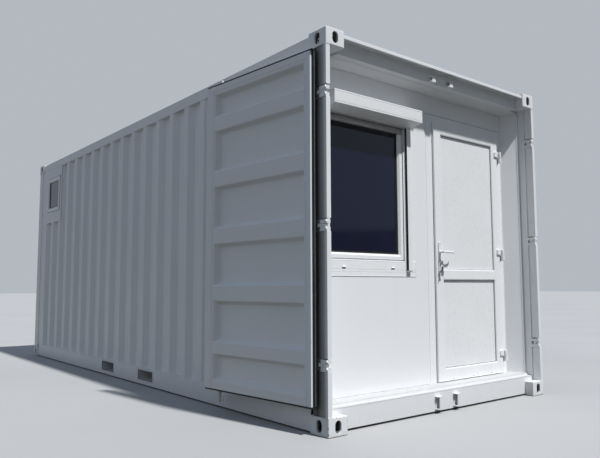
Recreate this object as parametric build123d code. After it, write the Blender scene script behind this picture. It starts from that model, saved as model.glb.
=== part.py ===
from build123d import *
import math
import os

# Portable site cabin: a 20 ft steel freight container fitted with a set-back
# insulated front wall, an entrance door, a roller-shutter window and a small
# side window. All sizes in millimetres. Origin at the middle of the base,
# front (door end) towards -Y, +Z up.

# ---------------------------------------------------------------- dimensions
LENGTH = 6058.0            # over the corner castings
WIDTH = 2438.0
HEIGHT = 2591.0
CAST_L, CAST_W, CAST_H = 178.0, 162.0, 118.0
CAST_WALL = 24.0           # side walls of a casting
CAST_SLAB = 28.0           # horizontal wall with the twist-lock hole
LOCK_END, LOCK_SIDE = 102.5, 89.5     # lock hole centre from end and side

POST_LIP_X = 1184.0        # inner face of the outer lip of a front post
POST_STEP_Y = 70.0         # face behind the lip
POST_IN_X = 1177.0         # inner face of the post behind the step
POST_BACK_Y = 150.0
SIDE_FACE = 1211.0         # outer face of side rails and corrugation crests
CORR_DEPTH = 36.0
CORR_PITCH = 278.0
CORR_FLAT = 72.0
SHEET = 2.5
RAIL_LOW = 2478.0          # underside of the top side rails
LINING_OUT = 1169.0        # outer face of the insulated lining
LINING_T = 58.0
FLOOR_TOP = 172.0
CEILING_LOW = 2405.0

SILL_Y, SILL_TOP, SILL_LOW = 74.0, 155.0, 15.0
SILL_X = 1164.5            # half its length, up to the posts
HEAD_Y, HEAD_LOW, HEAD_TOP = 74.0, 2460.0, 2570.0
KEEP_D = 30.0              # how far the lock-rod keepers stand out

RECESS_Y = 255.0           # front face of the set-back wall
RECESS_X = 1077.0          # half width of that wall where it meets the splays
RECESS_T = 62.0            # its thickness
RECESS_TOP = 2440.0        # underside of the recess ceiling at the wall
SPLAY_Y = 132.0            # front edge of the splayed side linings
SPLAY_X = 1165.0

DOOR_L, DOOR_R = 125.0, 995.0         # entrance leaf
DOOR_LOW, DOOR_TOP = 177.5, 2228.0
DOOR_FACE, DOOR_T = 233.0, 61.0       # outer face and thickness
DOOR_LIP = 16.0                       # thickness of the leaf edge over the frame
DFRAME_L, DFRAME_R, DFRAME_TOP = 50.0, 1064.0, 2290.0
DFRAME_FACE = 253.0
DOOR_PIN = (1004.0, 212.0)
DOOR_HINGE_Z = (322.0, 1186.0, 2047.0)
PANEL_L, PANEL_R = 216.0, 907.0
PANELS = ((278.0, 966.0), (1052.0, 2136.0))       # lower and upper infill: z
HAND_X, LEVER_Z, LOCK_Z = 162.0, 1186.0, 1094.0

BOARD_Y, BOARD_R = 245.0, 27.0        # thicker board round the window, right edge
SASH_L, SASH_R = -1000.0, -234.0      # outer edges of the sash
SASH_LOW, SASH_TOP = 1112.0, 2118.0
GLASS_L, GLASS_R = -959.0, -277.0
GLASS_LOW, GLASS_TOP = 1154.0, 2075.0
SASH_FACE, GLASS_FACE = 250.0, 272.0
GUIDES = ((-1043.0, -1004.0), (-214.0, -170.0))
GUIDE_FACE, GUIDE_LOW = 217.0, 1020.0
SHUT_L, SHUT_R = -1043.0, -149.0      # shutter box
SHUT_FACE, SHUT_LOW, SHUT_TOP = 115.0, 2147.0, 2240.0
FASCIA = (-1075.0, -108.0, 988.0, 1106.0)

SIDE_WIN = (5212.0, 5688.0, 1915.0, 2350.0)    # side window frame: y, z
SIDE_PLATE_Y, SIDE_PLATE_LOW = 5150.0, 1765.0  # flat plate round it

PIN = (-1200.0, 43.0)      # hinge axis of the left cargo door (from the front)
OPEN = 264.6               # degrees from closed to folded back
LEAF_U0, LEAF_U1 = 66.0, 1160.0       # steel edges, measured from the pin
LEAF_V0, LEAF_V1 = 12.0, 62.0         # outer and inner face
LEAF_Z0, LEAF_Z1 = 175.0, 2445.0
GASKET, GASKET_FREE = 19.0, 33.0       # rubber at the hinge edge, steel flange at the free edge
ROD_U, ROD_V, ROD_R = 1095.0, -13.0, 14.0
HINGE_Z = (431.0, 1301.0, 2165.0)
EYE_R, ARM_V = 20.0, 21.0              # hinge eye, and how thick its arm is
RECESSES = ((238, 428), (515, 814), (928, 1236), (1351, 1666), (1783, 2094),
            (2204, 2375))

os.makedirs("parts", exist_ok=True)


# ------------------------------------------------------------------- helpers
def box(x0, x1, y0, y1, z0, z1):
    """Box between limits; y is measured back from the front plane."""
    return Pos((x0 + x1) / 2, (y0 + y1) / 2 - LENGTH / 2, (z0 + z1) / 2) * Box(
        abs(x1 - x0), abs(y1 - y0), abs(z1 - z0))


def rod_z(x, y, z0, z1, r):
    return Pos(x, y - LENGTH / 2, (z0 + z1) / 2) * Cylinder(r, z1 - z0)


def rod_x(x0, x1, y, z, r):
    return Pos((x0 + x1) / 2, y - LENGTH / 2, z) * Rot(0, 90, 0) * Cylinder(r, x1 - x0)


def rod_y(x, y0, y1, z, r):
    return Pos(x, (y0 + y1) / 2 - LENGTH / 2, z) * Rot(90, 0, 0) * Cylinder(r, y1 - y0)


def prism_z(pts, z0, z1):
    wire = Polyline(*[(x, y - LENGTH / 2, z0) for x, y in pts], close=True)
    return extrude(make_face(wire), amount=z1 - z0, dir=(0, 0, 1))


def prism_x(pts, x0, x1):
    wire = Polyline(*[(x0, y - LENGTH / 2, z) for y, z in pts], close=True)
    return extrude(make_face(wire), amount=x1 - x0, dir=(1, 0, 0))


def prism_y(pts, y0, y1):
    wire = Polyline(*[(x, y0 - LENGTH / 2, z) for x, z in pts], close=True)
    return extrude(make_face(wire), amount=y1 - y0, dir=(0, 1, 0))


def flip(shape):
    return mirror(shape, about=Plane.YZ)


def write(name, *shapes):
    solids = []
    for shape in shapes:
        solids += list(shape.solids())
    export_step(Compound(solids), f"parts/{name}.step")


# ------------------------------------------------------------ corner castings
def casting(left, front, low):
    """Hollow cast corner block with a slot in each outward face."""
    body = Box(CAST_W, CAST_L, CAST_H)
    cavity = Pos(0, 0, (CAST_SLAB - CAST_WALL) / 2) * Box(
        CAST_W - 2 * CAST_WALL, CAST_L - 2 * CAST_WALL, CAST_H - CAST_SLAB - CAST_WALL)
    body = body - cavity
    # twist-lock hole in the horizontal outer face (built here facing down)
    slot = extrude(SlotOverall(124, 63.5, rotation=90), amount=60)
    body -= Pos(LOCK_SIDE - CAST_W / 2, LOCK_END - CAST_L / 2, -CAST_H / 2 - 5) * slot
    # hole in the outer side face (-X here) and in the outer end face (-Y here)
    side = Rot(0, 90, 0) * extrude(SlotOverall(79, 52), amount=60)
    body -= Pos(-CAST_W / 2 - 5, 0, 0) * side
    end = Rot(90, 0, 0) * extrude(SlotOverall(79, 51, rotation=90), amount=60, both=True)
    body -= Pos(0, -CAST_L / 2, 0) * end
    if not low:
        body = mirror(body, about=Plane.XY)
    if not left:
        body = mirror(body, about=Plane.YZ)
    if not front:
        body = mirror(body, about=Plane.XZ)
    x = (-1 if left else 1) * (WIDTH - CAST_W) / 2
    y = (-1 if front else 1) * (LENGTH - CAST_L) / 2
    z = CAST_H / 2 if low else HEIGHT - CAST_H / 2
    return Pos(x, y, z) * body


write("bottom_corner_castings", *[casting(a, b, True) for a in (1, 0) for b in (1, 0)])
write("top_corner_castings", *[casting(a, b, False) for a in (1, 0) for b in (1, 0)])


# ---------------------------------------------------------------------- posts
def front_post():
    """Left front post: outer lip, step and body, notched for the door hinges."""
    w = WIDTH / 2
    post = prism_z([(-w, 2), (-POST_LIP_X, 2), (-POST_LIP_X, POST_STEP_Y),
                    (-POST_IN_X, POST_STEP_Y), (-POST_IN_X, POST_BACK_Y),
                    (-w + 6, POST_BACK_Y), (-w + 6, 30), (-w, 30)],
                   CAST_H, HEIGHT - CAST_H)
    for z in HINGE_Z:
        post -= box(-w - 5, -POST_LIP_X + 5, -5, POST_STEP_Y, z - 37, z + 45)
        post -= box(-w - 5, -1195, POST_STEP_Y - 1, POST_BACK_Y + 5, z - 37, z + 45)
    return post


def hinge_lugs():
    """Two lugs and the pin of each hinge, welded to the face of the left post."""
    out = []
    for z in HINGE_Z:
        for a, b in ((z - 36, z - 9), (z + 13, z + 36)):
            lug = prism_z([(-1177, POST_STEP_Y), (-1183, 30), (-1183, 9), (-1186, 6), (-1217, 6),
                           (-1222, 11), (-1222, 66), (-1218, POST_STEP_Y)], a, b)
            out.append(lug)
    return out


def hinge_pins():
    return [rod_z(PIN[0], PIN[1], z - 42, z + 42, 8) for z in HINGE_Z]


def fuse(*parts):
    out = parts[0]
    for p in parts[1:]:
        out = out + p
    return out


left_post = front_post()
lugs = []
for z, i in zip(HINGE_Z, range(3)):
    pair = hinge_lugs()[2 * i:2 * i + 2]
    lugs.append(fuse(pair[0], pair[1], hinge_pins()[i]))
left_post = fuse(left_post, *lugs)
write("front_corner_posts", left_post, flip(left_post))

rear_post = prism_z([(-WIDTH / 2 + 4, LENGTH - 4), (-WIDTH / 2 + 4, LENGTH - 140),
                     (-1172, LENGTH - 140), (-1172, LENGTH - 62),
                     (-1080, LENGTH - 62), (-1080, LENGTH - 4)], CAST_H, HEIGHT - CAST_H)
write("rear_corner_posts", rear_post, flip(rear_post))

# ------------------------------------------------------------- bottom side rails
Y_A, Y_B = CAST_L, LENGTH - CAST_L      # between the castings


def bottom_rail():
    """Left bottom side rail: C section with a lower flange, two fork pockets."""
    rail = prism_y([(-SIDE_FACE, 12), (-SIDE_FACE + 40, 12), (-SIDE_FACE + 40, 17),
                    (-SIDE_FACE + 6, 17), (-SIDE_FACE + 6, 152), (-SIDE_FACE + 46, 152),
                    (-SIDE_FACE + 46, 158), (-SIDE_FACE, 158)], Y_A, Y_B)
    for y in (LENGTH / 2 - 450, LENGTH / 2 + 450):
        rail -= box(-WIDTH, -SIDE_FACE + 30, y - 152.5, y + 152.5, 50, 152)
    return rail


write("bottom_side_rails", bottom_rail(), flip(bottom_rail()))

pockets = []
for y in (LENGTH / 2 - 450, LENGTH / 2 + 450):
    e = SIDE_FACE - 6.5
    pockets.append(box(-e, e, y - 160, y - 153, 18, 150))
    pockets.append(box(-e, e, y + 153, y + 160, 18, 150))
    pockets.append(box(-e, e, y - 152.5, y + 152.5, 44, 50))
write("fork_pockets", *pockets)

members = []
n = 16
for k in range(n):
    y = 330 + k * (LENGTH - 660) / (n - 1)
    if min(abs(y - (LENGTH / 2 - 450)), abs(y - (LENGTH / 2 + 450))) < 200:
        continue
    c = prism_x([(y - 22, 36), (y + 23, 36), (y + 23, 41), (y - 17, 41), (y - 17, 145),
                 (y + 23, 145), (y + 23, 150), (y - 22, 150)], -1164, 1164)
    members.append(c)
write("floor_cross_members", *members)

# --------------------------------------------------------------- end frame rails
def keeper(x, z0, z1):
    """Box that a lock-rod cam swings into from its open left side."""
    y0, y1 = SILL_Y - KEEP_D, SILL_Y
    back = box(x - 19, x + 39, y1 - 3, y1, z0, z1)
    right = box(x + 33, x + 39, y0, y1, z0, z1)
    front = box(x - 1, x + 39, y0, y0 + 6, z0, z1)
    low = box(x - 19, x + 39, y0, y1, z0, z0 + 6)
    high = box(x - 19, x + 39, y0, y1, z1 - 6, z1)
    return back + right + front + low + high


sill = prism_x([(SILL_Y, SILL_LOW), (SILL_Y + 60, SILL_LOW), (SILL_Y + 60, SILL_LOW + 6),
                (SILL_Y + 6, SILL_LOW + 6), (SILL_Y + 6, SILL_TOP - 6),
                (SILL_Y + 46, SILL_TOP - 4), (SILL_Y + 46, FLOOR_TOP),
                (SILL_Y + 40, FLOOR_TOP), (SILL_Y + 40, SILL_TOP + 2), (SILL_Y, SILL_TOP)],
               -SILL_X, SILL_X)
for sgn in (-1, 1):      # its ends sit on top of the corner castings
    sill -= box(sgn * (WIDTH / 2 - CAST_W), sgn * WIDTH, 0, CAST_L + 5, 0, CAST_H + 0.3)
write("front_sill", fuse(sill, keeper(-105, 28, 122), keeper(105, 28, 122)))
x = WIDTH / 2 - CAST_W
header = prism_x([(HEAD_Y, HEAD_LOW), (HEAD_Y + 64, HEAD_LOW), (HEAD_Y + 64, HEAD_TOP + 6),
                  (10, HEAD_TOP), (8, HEAD_TOP - 4), (8, HEAD_TOP - 24), (14, HEAD_TOP - 24),
                  (14, HEAD_TOP - 12), (HEAD_Y, HEAD_TOP - 10)], -x, x)
write("front_header", fuse(header, keeper(-105, 2463, 2509), keeper(105, 2463, 2509)))
write("rear_end_rails",
      prism_x([(LENGTH - 4, 12), (LENGTH - 60, 12), (LENGTH - 60, 18), (LENGTH - 10, 18),
               (LENGTH - 10, 152), (LENGTH - 60, 152), (LENGTH - 60, 158),
               (LENGTH - 4, 158)], -x, x),
      box(-x, x, LENGTH - 64, LENGTH - 4, HEIGHT - 74, HEIGHT - 14))

top = box(-SIDE_FACE, -SIDE_FACE + 60, Y_A, Y_B, RAIL_LOW, HEIGHT - 18)
write("top_side_rails", top, flip(top))


# ------------------------------------------------------------------ side walls
def corrugated(y0, y1, start):
    """Outer line of the left wall section from y0 to y1 as (x, y) points."""
    slope = (CORR_PITCH - 2 * CORR_FLAT) / 2
    outer, inner = -SIDE_FACE + 2, -SIDE_FACE + 2 + CORR_DEPTH
    pts = [(outer, y0)]
    y = start
    while y + CORR_PITCH - CORR_FLAT <= y1:
        pts += [(outer, y), (inner, y + slope), (inner, y + slope + CORR_FLAT),
                (outer, y + 2 * slope + CORR_FLAT)]
        y += CORR_PITCH
    pts.append((outer, y1))
    return pts


WALL_Z0, WALL_Z1 = 158.0, RAIL_LOW
WALL_Y0, WALL_Y1 = 150.0, LENGTH - 140.0


def side_sheet(y1):
    line = corrugated(WALL_Y0, y1, 232.0)
    back = [(px + SHEET, py) for px, py in reversed(line)]
    sheet = prism_z(line + back, WALL_Z0, WALL_Z1)
    for y0, y1 in ((0, CAST_L), (LENGTH - CAST_L, LENGTH)):
        sheet -= box(-WIDTH, -WIDTH / 2 + CAST_W, y0, y1, HEIGHT - CAST_H, HEIGHT)
    return sheet


left_sheet = side_sheet(WALL_Y1)
# the flat window plate replaces the corrugation in the rear upper corner
left_sheet -= box(-WIDTH, -SIDE_FACE + 60, SIDE_PLATE_Y, LENGTH, SIDE_PLATE_LOW, HEIGHT)
write("right_side_panel", flip(side_sheet(WALL_Y1)))
sy0, sy1, sz0, sz1 = SIDE_WIN
plate = box(-SIDE_FACE + 1, -SIDE_FACE + 5, SIDE_PLATE_Y, WALL_Y1, SIDE_PLATE_LOW, WALL_Z1)
plate -= box(-WIDTH, -1000, sy0 + 10, sy1 - 10, sz0 + 10, sz1 - 10)
plate += box(-SIDE_FACE + 5, -LINING_OUT - 1, SIDE_PLATE_Y, WALL_Y1, SIDE_PLATE_LOW,
             SIDE_PLATE_LOW + 4)
plate += box(-SIDE_FACE + 5, -LINING_OUT - 1, SIDE_PLATE_Y, SIDE_PLATE_Y + 4,
             SIDE_PLATE_LOW, WALL_Z1)
plate -= box(-WIDTH, -WIDTH / 2 + CAST_W, LENGTH - CAST_L, LENGTH, HEIGHT - CAST_H, HEIGHT)
write("left_side_panel", fuse(left_sheet, plate))

rear_pts = []
yy = LENGTH - 14
px = -1080.0
rear_line = [(px, yy)]
px += 40
while px + 250 <= 1080:
    rear_line += [(px, yy), (px + 60, yy - 45), (px + 130, yy - 45), (px + 190, yy)]
    px += 252
rear_line.append((1080.0, yy))
rear_back = [(a, b - SHEET) for a, b in reversed(rear_line)]
rear_panel = prism_z(rear_line + rear_back, 158, HEIGHT - 74)
for sgn in (-1, 1):
    rear_panel -= box(sgn * (WIDTH / 2 - CAST_W), sgn * WIDTH, LENGTH - CAST_L, LENGTH,
                      HEIGHT - CAST_H, HEIGHT)
write("rear_end_panel", rear_panel)

# insulated linings
LIN_IN = LINING_OUT - LINING_T
LIN_Y0 = RECESS_Y + RECESS_T
LIN_Y1 = LENGTH - 66.0
REAR_LIN = LIN_Y1 - LINING_T
GAP = 0.5                  # joint line between linings


def lining(x0, x1, y0, y1, z0, z1):
    return box(x0, x1, y0, y1, z0, z1)


left_lining = [
    lining(-LINING_OUT, -LIN_IN, LIN_Y0, sy0 + 10, FLOOR_TOP, CEILING_LOW),
    lining(-LINING_OUT, -LIN_IN, sy0 + 10, sy1 - 10, FLOOR_TOP, sz0 + 10),
    lining(-LINING_OUT, -LIN_IN, sy0 + 10, sy1 - 10, sz1 - 10, CEILING_LOW),
    lining(-LINING_OUT, -LIN_IN, sy1 - 10, REAR_LIN, FLOOR_TOP, CEILING_LOW)]
write("wall_linings", fuse(*left_lining),
      lining(LIN_IN, LINING_OUT, LIN_Y0, REAR_LIN, FLOOR_TOP, CEILING_LOW),
      lining(-LINING_OUT, LINING_OUT, REAR_LIN + GAP, LIN_Y1, FLOOR_TOP, CEILING_LOW))
write("ceiling_lining", lining(-LINING_OUT, LINING_OUT, LIN_Y0, LIN_Y1, CEILING_LOW, CEILING_LOW + 60))
deck = box(-1160, 1160, SILL_Y + 46, LENGTH - 66, 150, FLOOR_TOP)
write("floor", deck)

# roof: pressed sheet with cross corrugations between the top rails
roof_line = [(HEAD_Y + 64, HEIGHT - 30)]
y = 260.0
while y + 209 < LENGTH - 100:
    roof_line += [(y, HEIGHT - 30), (y + 14, HEIGHT - 12), (y + 105, HEIGHT - 12),
                  (y + 119, HEIGHT - 30)]
    y += 209
roof_line.append((LENGTH - 64, HEIGHT - 30))
roof_back = [(a, b - SHEET) for a, b in reversed(roof_line)]
roof = prism_x(roof_line + roof_back, -SIDE_FACE + 60, SIDE_FACE - 60)
for sx in (-1, 1):
    for y0, y1 in ((0, CAST_L), (LENGTH - CAST_L, LENGTH)):
        roof -= box(sx * (WIDTH / 2 - CAST_W), sx * WIDTH, y0, y1, HEIGHT - CAST_H, HEIGHT)
write("roof_panel", roof)


# ------------------------------------------------------------- set-back front wall
def fw(x0, x1, z0, z1):
    return box(x0, x1, RECESS_Y, RECESS_Y + RECESS_T, z0, z1)


DO_L, DO_R, DO_T = DOOR_L + 16, DOOR_R - 16, DOOR_TOP - 16           # doorway
WO_L, WO_R, WO_B, WO_T = -1030.0, -200.0, 1090.0, 2170.0             # window opening
wall = fw(-RECESS_X - 73, DFRAME_L + 20, FLOOR_TOP, RECESS_TOP)
wall += box(-RECESS_X - 10, BOARD_R, BOARD_Y, RECESS_Y, FLOOR_TOP, RECESS_TOP)
wall -= box(WO_L, WO_R, 0, 1000, WO_B, WO_T)
# the board meets the splayed lining
wall -= prism_z([(-RECESS_X - 40, BOARD_Y - 5), (-RECESS_X - 7.5, BOARD_Y - 5),
                 (-RECESS_X + 0.5, RECESS_Y), (-RECESS_X - 40, RECESS_Y)], 0, HEIGHT)
write("front_wall_window_side", wall)
write("front_wall_over_door", fw(DFRAME_L + 20, DFRAME_R - 20, DFRAME_TOP - 20, RECESS_TOP))
write("front_wall_right_strip", fw(DFRAME_R - 20, RECESS_X + 73, FLOOR_TOP, RECESS_TOP))
splay = prism_z([(-SPLAY_X + 0.5, SPLAY_Y), (-RECESS_X, RECESS_Y - 0.5),
                 (-RECESS_X - 14, RECESS_Y - 0.5), (-SPLAY_X, SPLAY_Y + 20)],
                FLOOR_TOP, 2458)
splay -= prism_x([(SPLAY_Y - 20, 2458.7), (SILL_Y + 65, 2458.7), (RECESS_Y, RECESS_TOP),
                  (RECESS_Y + 40, RECESS_TOP), (RECESS_Y + 40, 2600), (SPLAY_Y - 20, 2600)],
                 -WIDTH, WIDTH)
write("recess_side_linings", splay, flip(splay))
write("recess_ceiling", prism_x([(SILL_Y + 65, 2459), (RECESS_Y, RECESS_TOP + 0.5),
                                 (RECESS_Y + RECESS_T, RECESS_TOP + 0.5),
                                 (RECESS_Y + RECESS_T, RECESS_TOP + 8), (RECESS_Y, RECESS_TOP + 8),
                                 (SILL_Y + 65, 2467)], -1164, 1164))

# ------------------------------------------------------------- entrance door frame
dframe = box(DFRAME_L, DFRAME_R, DFRAME_FACE, RECESS_Y, FLOOR_TOP, DFRAME_TOP)
dframe += box(DFRAME_L + 21, DFRAME_R - 21, RECESS_Y, RECESS_Y + RECESS_T + 8, FLOOR_TOP,
              DFRAME_TOP - 21)
dframe -= box(DO_L, DO_R, 0, RECESS_Y + 45, 0, DO_T)
dframe -= box(DO_L + 26, DO_R - 26, 0, RECESS_Y + 150, 0, DO_T - 26)
dframe += box(DO_L, DO_R, RECESS_Y, RECESS_Y + RECESS_T, FLOOR_TOP, FLOOR_TOP + 7)
write("entrance_door_frame", dframe)

# leaf: its edge overlaps the frame on the outside, its body sits in the doorway
leaf = box(DOOR_L, DOOR_R, DOOR_FACE, DOOR_FACE + DOOR_LIP, DOOR_LOW, DOOR_TOP)
leaf += box(DO_L + 6, DO_R - 6, DOOR_FACE + DOOR_LIP, DOOR_FACE + DOOR_T, DOOR_LOW + 7, DO_T - 6)
for z0, z1 in PANELS:
    leaf -= box(PANEL_L, PANEL_R, DOOR_FACE - 1, DOOR_FACE + DOOR_T + 1, z0, z1)
write("entrance_door_leaf", leaf)
write("entrance_door_panels",
      *[box(PANEL_L + 0.1, PANEL_R - 0.1, DOOR_FACE + 16, DOOR_FACE + 44, z0 + 0.1, z1 - 0.1)
        for z0, z1 in PANELS])
plate = box(HAND_X - 14, HAND_X + 14, DOOR_FACE - 10, DOOR_FACE, 1023, 1268)
plate -= rod_y(HAND_X, DOOR_FACE - 20, DOOR_FACE + 5, LEVER_Z, 10.2)
cyl = rod_y(HAND_X, DOOR_FACE - 15, DOOR_FACE - 10, LOCK_Z, 9)
write("door_handle_plate", plate + cyl)
lever = rod_y(HAND_X, DOOR_FACE - 55, DOOR_FACE - 0.5, LEVER_Z, 10)
lever += box(HAND_X, HAND_X + 145, DOOR_FACE - 55, DOOR_FACE - 41, LEVER_Z - 10, LEVER_Z + 10)
write("door_lever", lever)

# hinges of the entrance door: leaf half and frame half on one knuckle line
leaf_halves, frame_halves = [], []
hx, hy = DOOR_PIN
for z in DOOR_HINGE_Z:
    leaf_halves.append(rod_z(hx, hy, z + 1, z + 48, 12)
                       + box(944, hx, DOOR_FACE - 12, DOOR_FACE, z + 1, z + 48))
    frame_halves.append(rod_z(hx, hy, z - 48, z - 1, 12)
                        + box(hx, hx + 48, hy - 6, DFRAME_FACE, z - 48, z - 1))
write("entrance_hinges_leaf_side", *leaf_halves)
write("entrance_hinges_frame_side", *frame_halves)

# ---------------------------------------------------------------- shutter window
wframe = box(WO_L + 0.5, WO_R - 0.5, RECESS_Y + 3, RECESS_Y + RECESS_T, WO_B + 0.5, WO_T - 0.5)
wframe -= box(SASH_L - 1, SASH_R + 1, 0, RECESS_Y + 150, SASH_LOW - 1, SASH_TOP + 1)
write("window_frame", wframe)
wsash = box(SASH_L, SASH_R, SASH_FACE, SASH_FACE + 72, SASH_LOW, SASH_TOP) - box(
    GLASS_L, GLASS_R, 0, RECESS_Y + 150, GLASS_LOW, GLASS_TOP)
write("window_sash", wsash)
pane = box(GLASS_L + 0.1, GLASS_R - 0.1, GLASS_FACE, GLASS_FACE + 24,
           GLASS_LOW + 0.1, GLASS_TOP - 0.1)
write("shutter_box", prism_x([(SHUT_FACE, SHUT_LOW), (BOARD_Y, SHUT_LOW - 29),
                              (BOARD_Y, SHUT_TOP + 3), (SHUT_FACE + 3, SHUT_TOP + 3),
                              (SHUT_FACE, SHUT_TOP)], SHUT_L, SHUT_R))
fx0, fx1, fz0, fz1 = FASCIA
write("window_sill_fascia", prism_x([(BOARD_Y, fz0), (BOARD_Y - 3, fz0), (BOARD_Y - 3, fz1 - 4),
                                     (BOARD_Y + 12, fz1), (BOARD_Y + 12, WO_B + 0.5),
                                     (BOARD_Y, WO_B + 0.5)], WO_L + 0.5, WO_R - 0.5)
      + box(fx0, WO_L + 0.5, BOARD_Y - 3, BOARD_Y, fz0, fz1)
      + box(WO_R - 0.5, fx1, BOARD_Y - 3, BOARD_Y, fz0, fz1))
guides = []
for g0, g1 in GUIDES:
    g = box(g0, g1, GUIDE_FACE, BOARD_Y, GUIDE_LOW, SHUT_LOW - 10)
    g -= box(g0 - 5, g1 + 5, BOARD_Y - 3, BOARD_Y + 5, GUIDE_LOW - 5, fz1)
    g -= prism_x([(SHUT_FACE, SHUT_LOW - 1), (BOARD_Y + 1, SHUT_LOW - 30.2), (BOARD_Y + 1, 2600),
                  (SHUT_FACE, 2600)], g0 - 5, g1 + 5)
    guides.append(g)
write("shutter_guides", *guides)

# side window
sf = box(-SIDE_FACE - 6, -LIN_IN - 6, sy0, sy1, sz0, sz1)
sf = box(-SIDE_FACE - 6, -SIDE_FACE + 0.9, sy0 - 4, sy1 + 4, sz0 - 4, sz1 + 4) + box(
    -SIDE_FACE + 0.9, -LIN_IN, sy0 + 10.5, sy1 - 10.5, sz0 + 10.5, sz1 - 10.5)
sf -= box(-WIDTH, -1000, sy0 + 50, sy1 - 50, sz0 + 50, sz1 - 50)
write("side_window_frame", sf)
write("window_panes", pane,
      box(-SIDE_FACE + 12, -SIDE_FACE + 32, sy0 + 50.1, sy1 - 50.1, sz0 + 50.1, sz1 - 50.1))


# ---------------------------------------------------------------- cargo doors
# Modelled closed, at (u, v) from the hinge pin, then folded back round the pin.
def uv(u, v):
    return PIN[0] + u, PIN[1] + v


def ubox(u0, u1, v0, v1, z0, z1):
    return box(PIN[0] + u0, PIN[0] + u1, PIN[1] + v0, PIN[1] + v1, z0, z1)


def fold(shape):
    axis = Axis((PIN[0], PIN[1] - LENGTH / 2, 0), (0, 0, 1))
    return shape.rotate(axis, -OPEN)


IU0, IU1 = LEAF_U0 + 46, LEAF_U1 - 52
frame_parts = fuse(
    ubox(LEAF_U0, IU0, LEAF_V0, LEAF_V1, LEAF_Z0, LEAF_Z1),
    ubox(IU1, LEAF_U1, LEAF_V0, LEAF_V1, LEAF_Z0, LEAF_Z1),
    ubox(IU0, IU1, LEAF_V0, LEAF_V1, LEAF_Z0, LEAF_Z0 + 42),
    ubox(IU0, IU1, LEAF_V0, LEAF_V1, LEAF_Z1 - 42, LEAF_Z1))


def pressing():
    """Cross-section of the pressed sheet: bands inboard, recesses outboard."""
    v_in, v_out, slope, t = LEAF_V1 - 1, LEAF_V0 + 6, 24, 3.0
    line = [(v_in, LEAF_Z0 + 42)]
    for a, b in RECESSES:
        line += [(v_in, a), (v_out, a + slope), (v_out, b - slope), (v_in, b)]
    line.append((v_in, LEAF_Z1 - 42))
    back = [(v - t, z) for v, z in reversed(line)]
    return prism_x([(PIN[1] + v, z) for v, z in line + back], PIN[0] + IU0, PIN[0] + IU1)


panel = pressing()
gz0, gz1 = LEAF_Z0 - 10, LEAF_Z1 + 10
gk = fuse(
    ubox(LEAF_U0 - GASKET, LEAF_U0, 20, 48, gz0, gz1),
    ubox(LEAF_U1, LEAF_U1 + 18, 38, 55, gz0, gz1),
    ubox(LEAF_U0 - GASKET, LEAF_U1 + 18, 40, LEAF_V1, gz0, LEAF_Z0),
    ubox(LEAF_U0 - GASKET, LEAF_U1 + 18, 40, LEAF_V1, LEAF_Z1, gz1))
flange = ubox(LEAF_U1, LEAF_U1 + GASKET_FREE, LEAF_V1 - 5, LEAF_V1, LEAF_Z0, LEAF_Z1)
blades = []
for z in HINGE_Z:
    eye = rod_z(PIN[0], PIN[1], z - 8, z + 12, EYE_R)
    blade = ubox(0, 210, 0, LEAF_V0, z - 8, z + 12) + ubox(0, 44, 0, ARM_V, z - 8, z + 12)
    blades.append((eye + blade) - rod_z(PIN[0], PIN[1], z - 30, z + 30, 8.5))
brackets = []
for z in (330.0, 760.0, 1470.0, 2290.0):
    b = ubox(ROD_U - 34, ROD_U + 34, ROD_V + 3, LEAF_V0, z - 26, z + 26)
    b += ubox(ROD_U - 20, ROD_U + 20, ROD_V - ROD_R - 6, ROD_V + 3, z - 22, z + 22)
    b -= rod_z(PIN[0] + ROD_U, PIN[1] + ROD_V, z - 40, z + 40, ROD_R + 0.5)
    brackets.append(b)

ROD_Z0, ROD_Z1 = 70.0, 2510.0
rx, ry = PIN[0] + ROD_U, PIN[1] + ROD_V
rod = rod_z(rx, ry, 128, 2460, ROD_R) + rod_z(rx, ry, ROD_Z0, ROD_Z1, 9)
handle = box(rx - 12, rx + 12, ry - 30, ry - 22, 820, 1230) + box(
    rx - 14, rx + 14, ry - 30, ry, 1180, 1230)


def lock_rod(way):
    """Rod, handle and cams; way is -1 or 1, the side the cams point to."""
    out = rod + handle
    for z0, z1 in ((78.0, 112.0), (2474.0, 2498.0)):
        out += box(rx, rx + way * 36, ry - 10, ry - 3, z0, z1)
    return out


for side in ("left", "right"):
    f = (lambda s: s) if side == "left" else flip
    write(f"{side}_cargo_door_frame", f(fold(fuse(frame_parts, flange, *blades, *brackets))))
    write(f"{side}_cargo_door_panel", f(fold(panel)))
    write(f"{side}_cargo_door_gasket", f(fold(gk)))
    write(f"{side}_lock_rod", f(fold(lock_rod(-1 if side == "left" else 1))))
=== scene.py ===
import bpy, bmesh, math, random
from mathutils import Vector, Matrix, noise


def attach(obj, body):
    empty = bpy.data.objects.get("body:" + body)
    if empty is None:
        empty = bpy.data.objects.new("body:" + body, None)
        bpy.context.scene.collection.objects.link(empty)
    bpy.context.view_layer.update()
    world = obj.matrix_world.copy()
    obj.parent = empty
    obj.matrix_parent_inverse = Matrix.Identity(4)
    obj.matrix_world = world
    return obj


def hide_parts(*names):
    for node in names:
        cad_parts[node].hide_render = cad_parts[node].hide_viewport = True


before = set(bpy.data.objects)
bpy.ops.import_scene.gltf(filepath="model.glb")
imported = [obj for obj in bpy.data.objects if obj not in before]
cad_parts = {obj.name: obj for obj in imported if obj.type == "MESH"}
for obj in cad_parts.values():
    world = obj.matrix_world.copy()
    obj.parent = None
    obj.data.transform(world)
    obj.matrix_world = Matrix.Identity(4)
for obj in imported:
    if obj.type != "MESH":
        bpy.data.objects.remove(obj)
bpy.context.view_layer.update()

random.seed(7)

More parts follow.
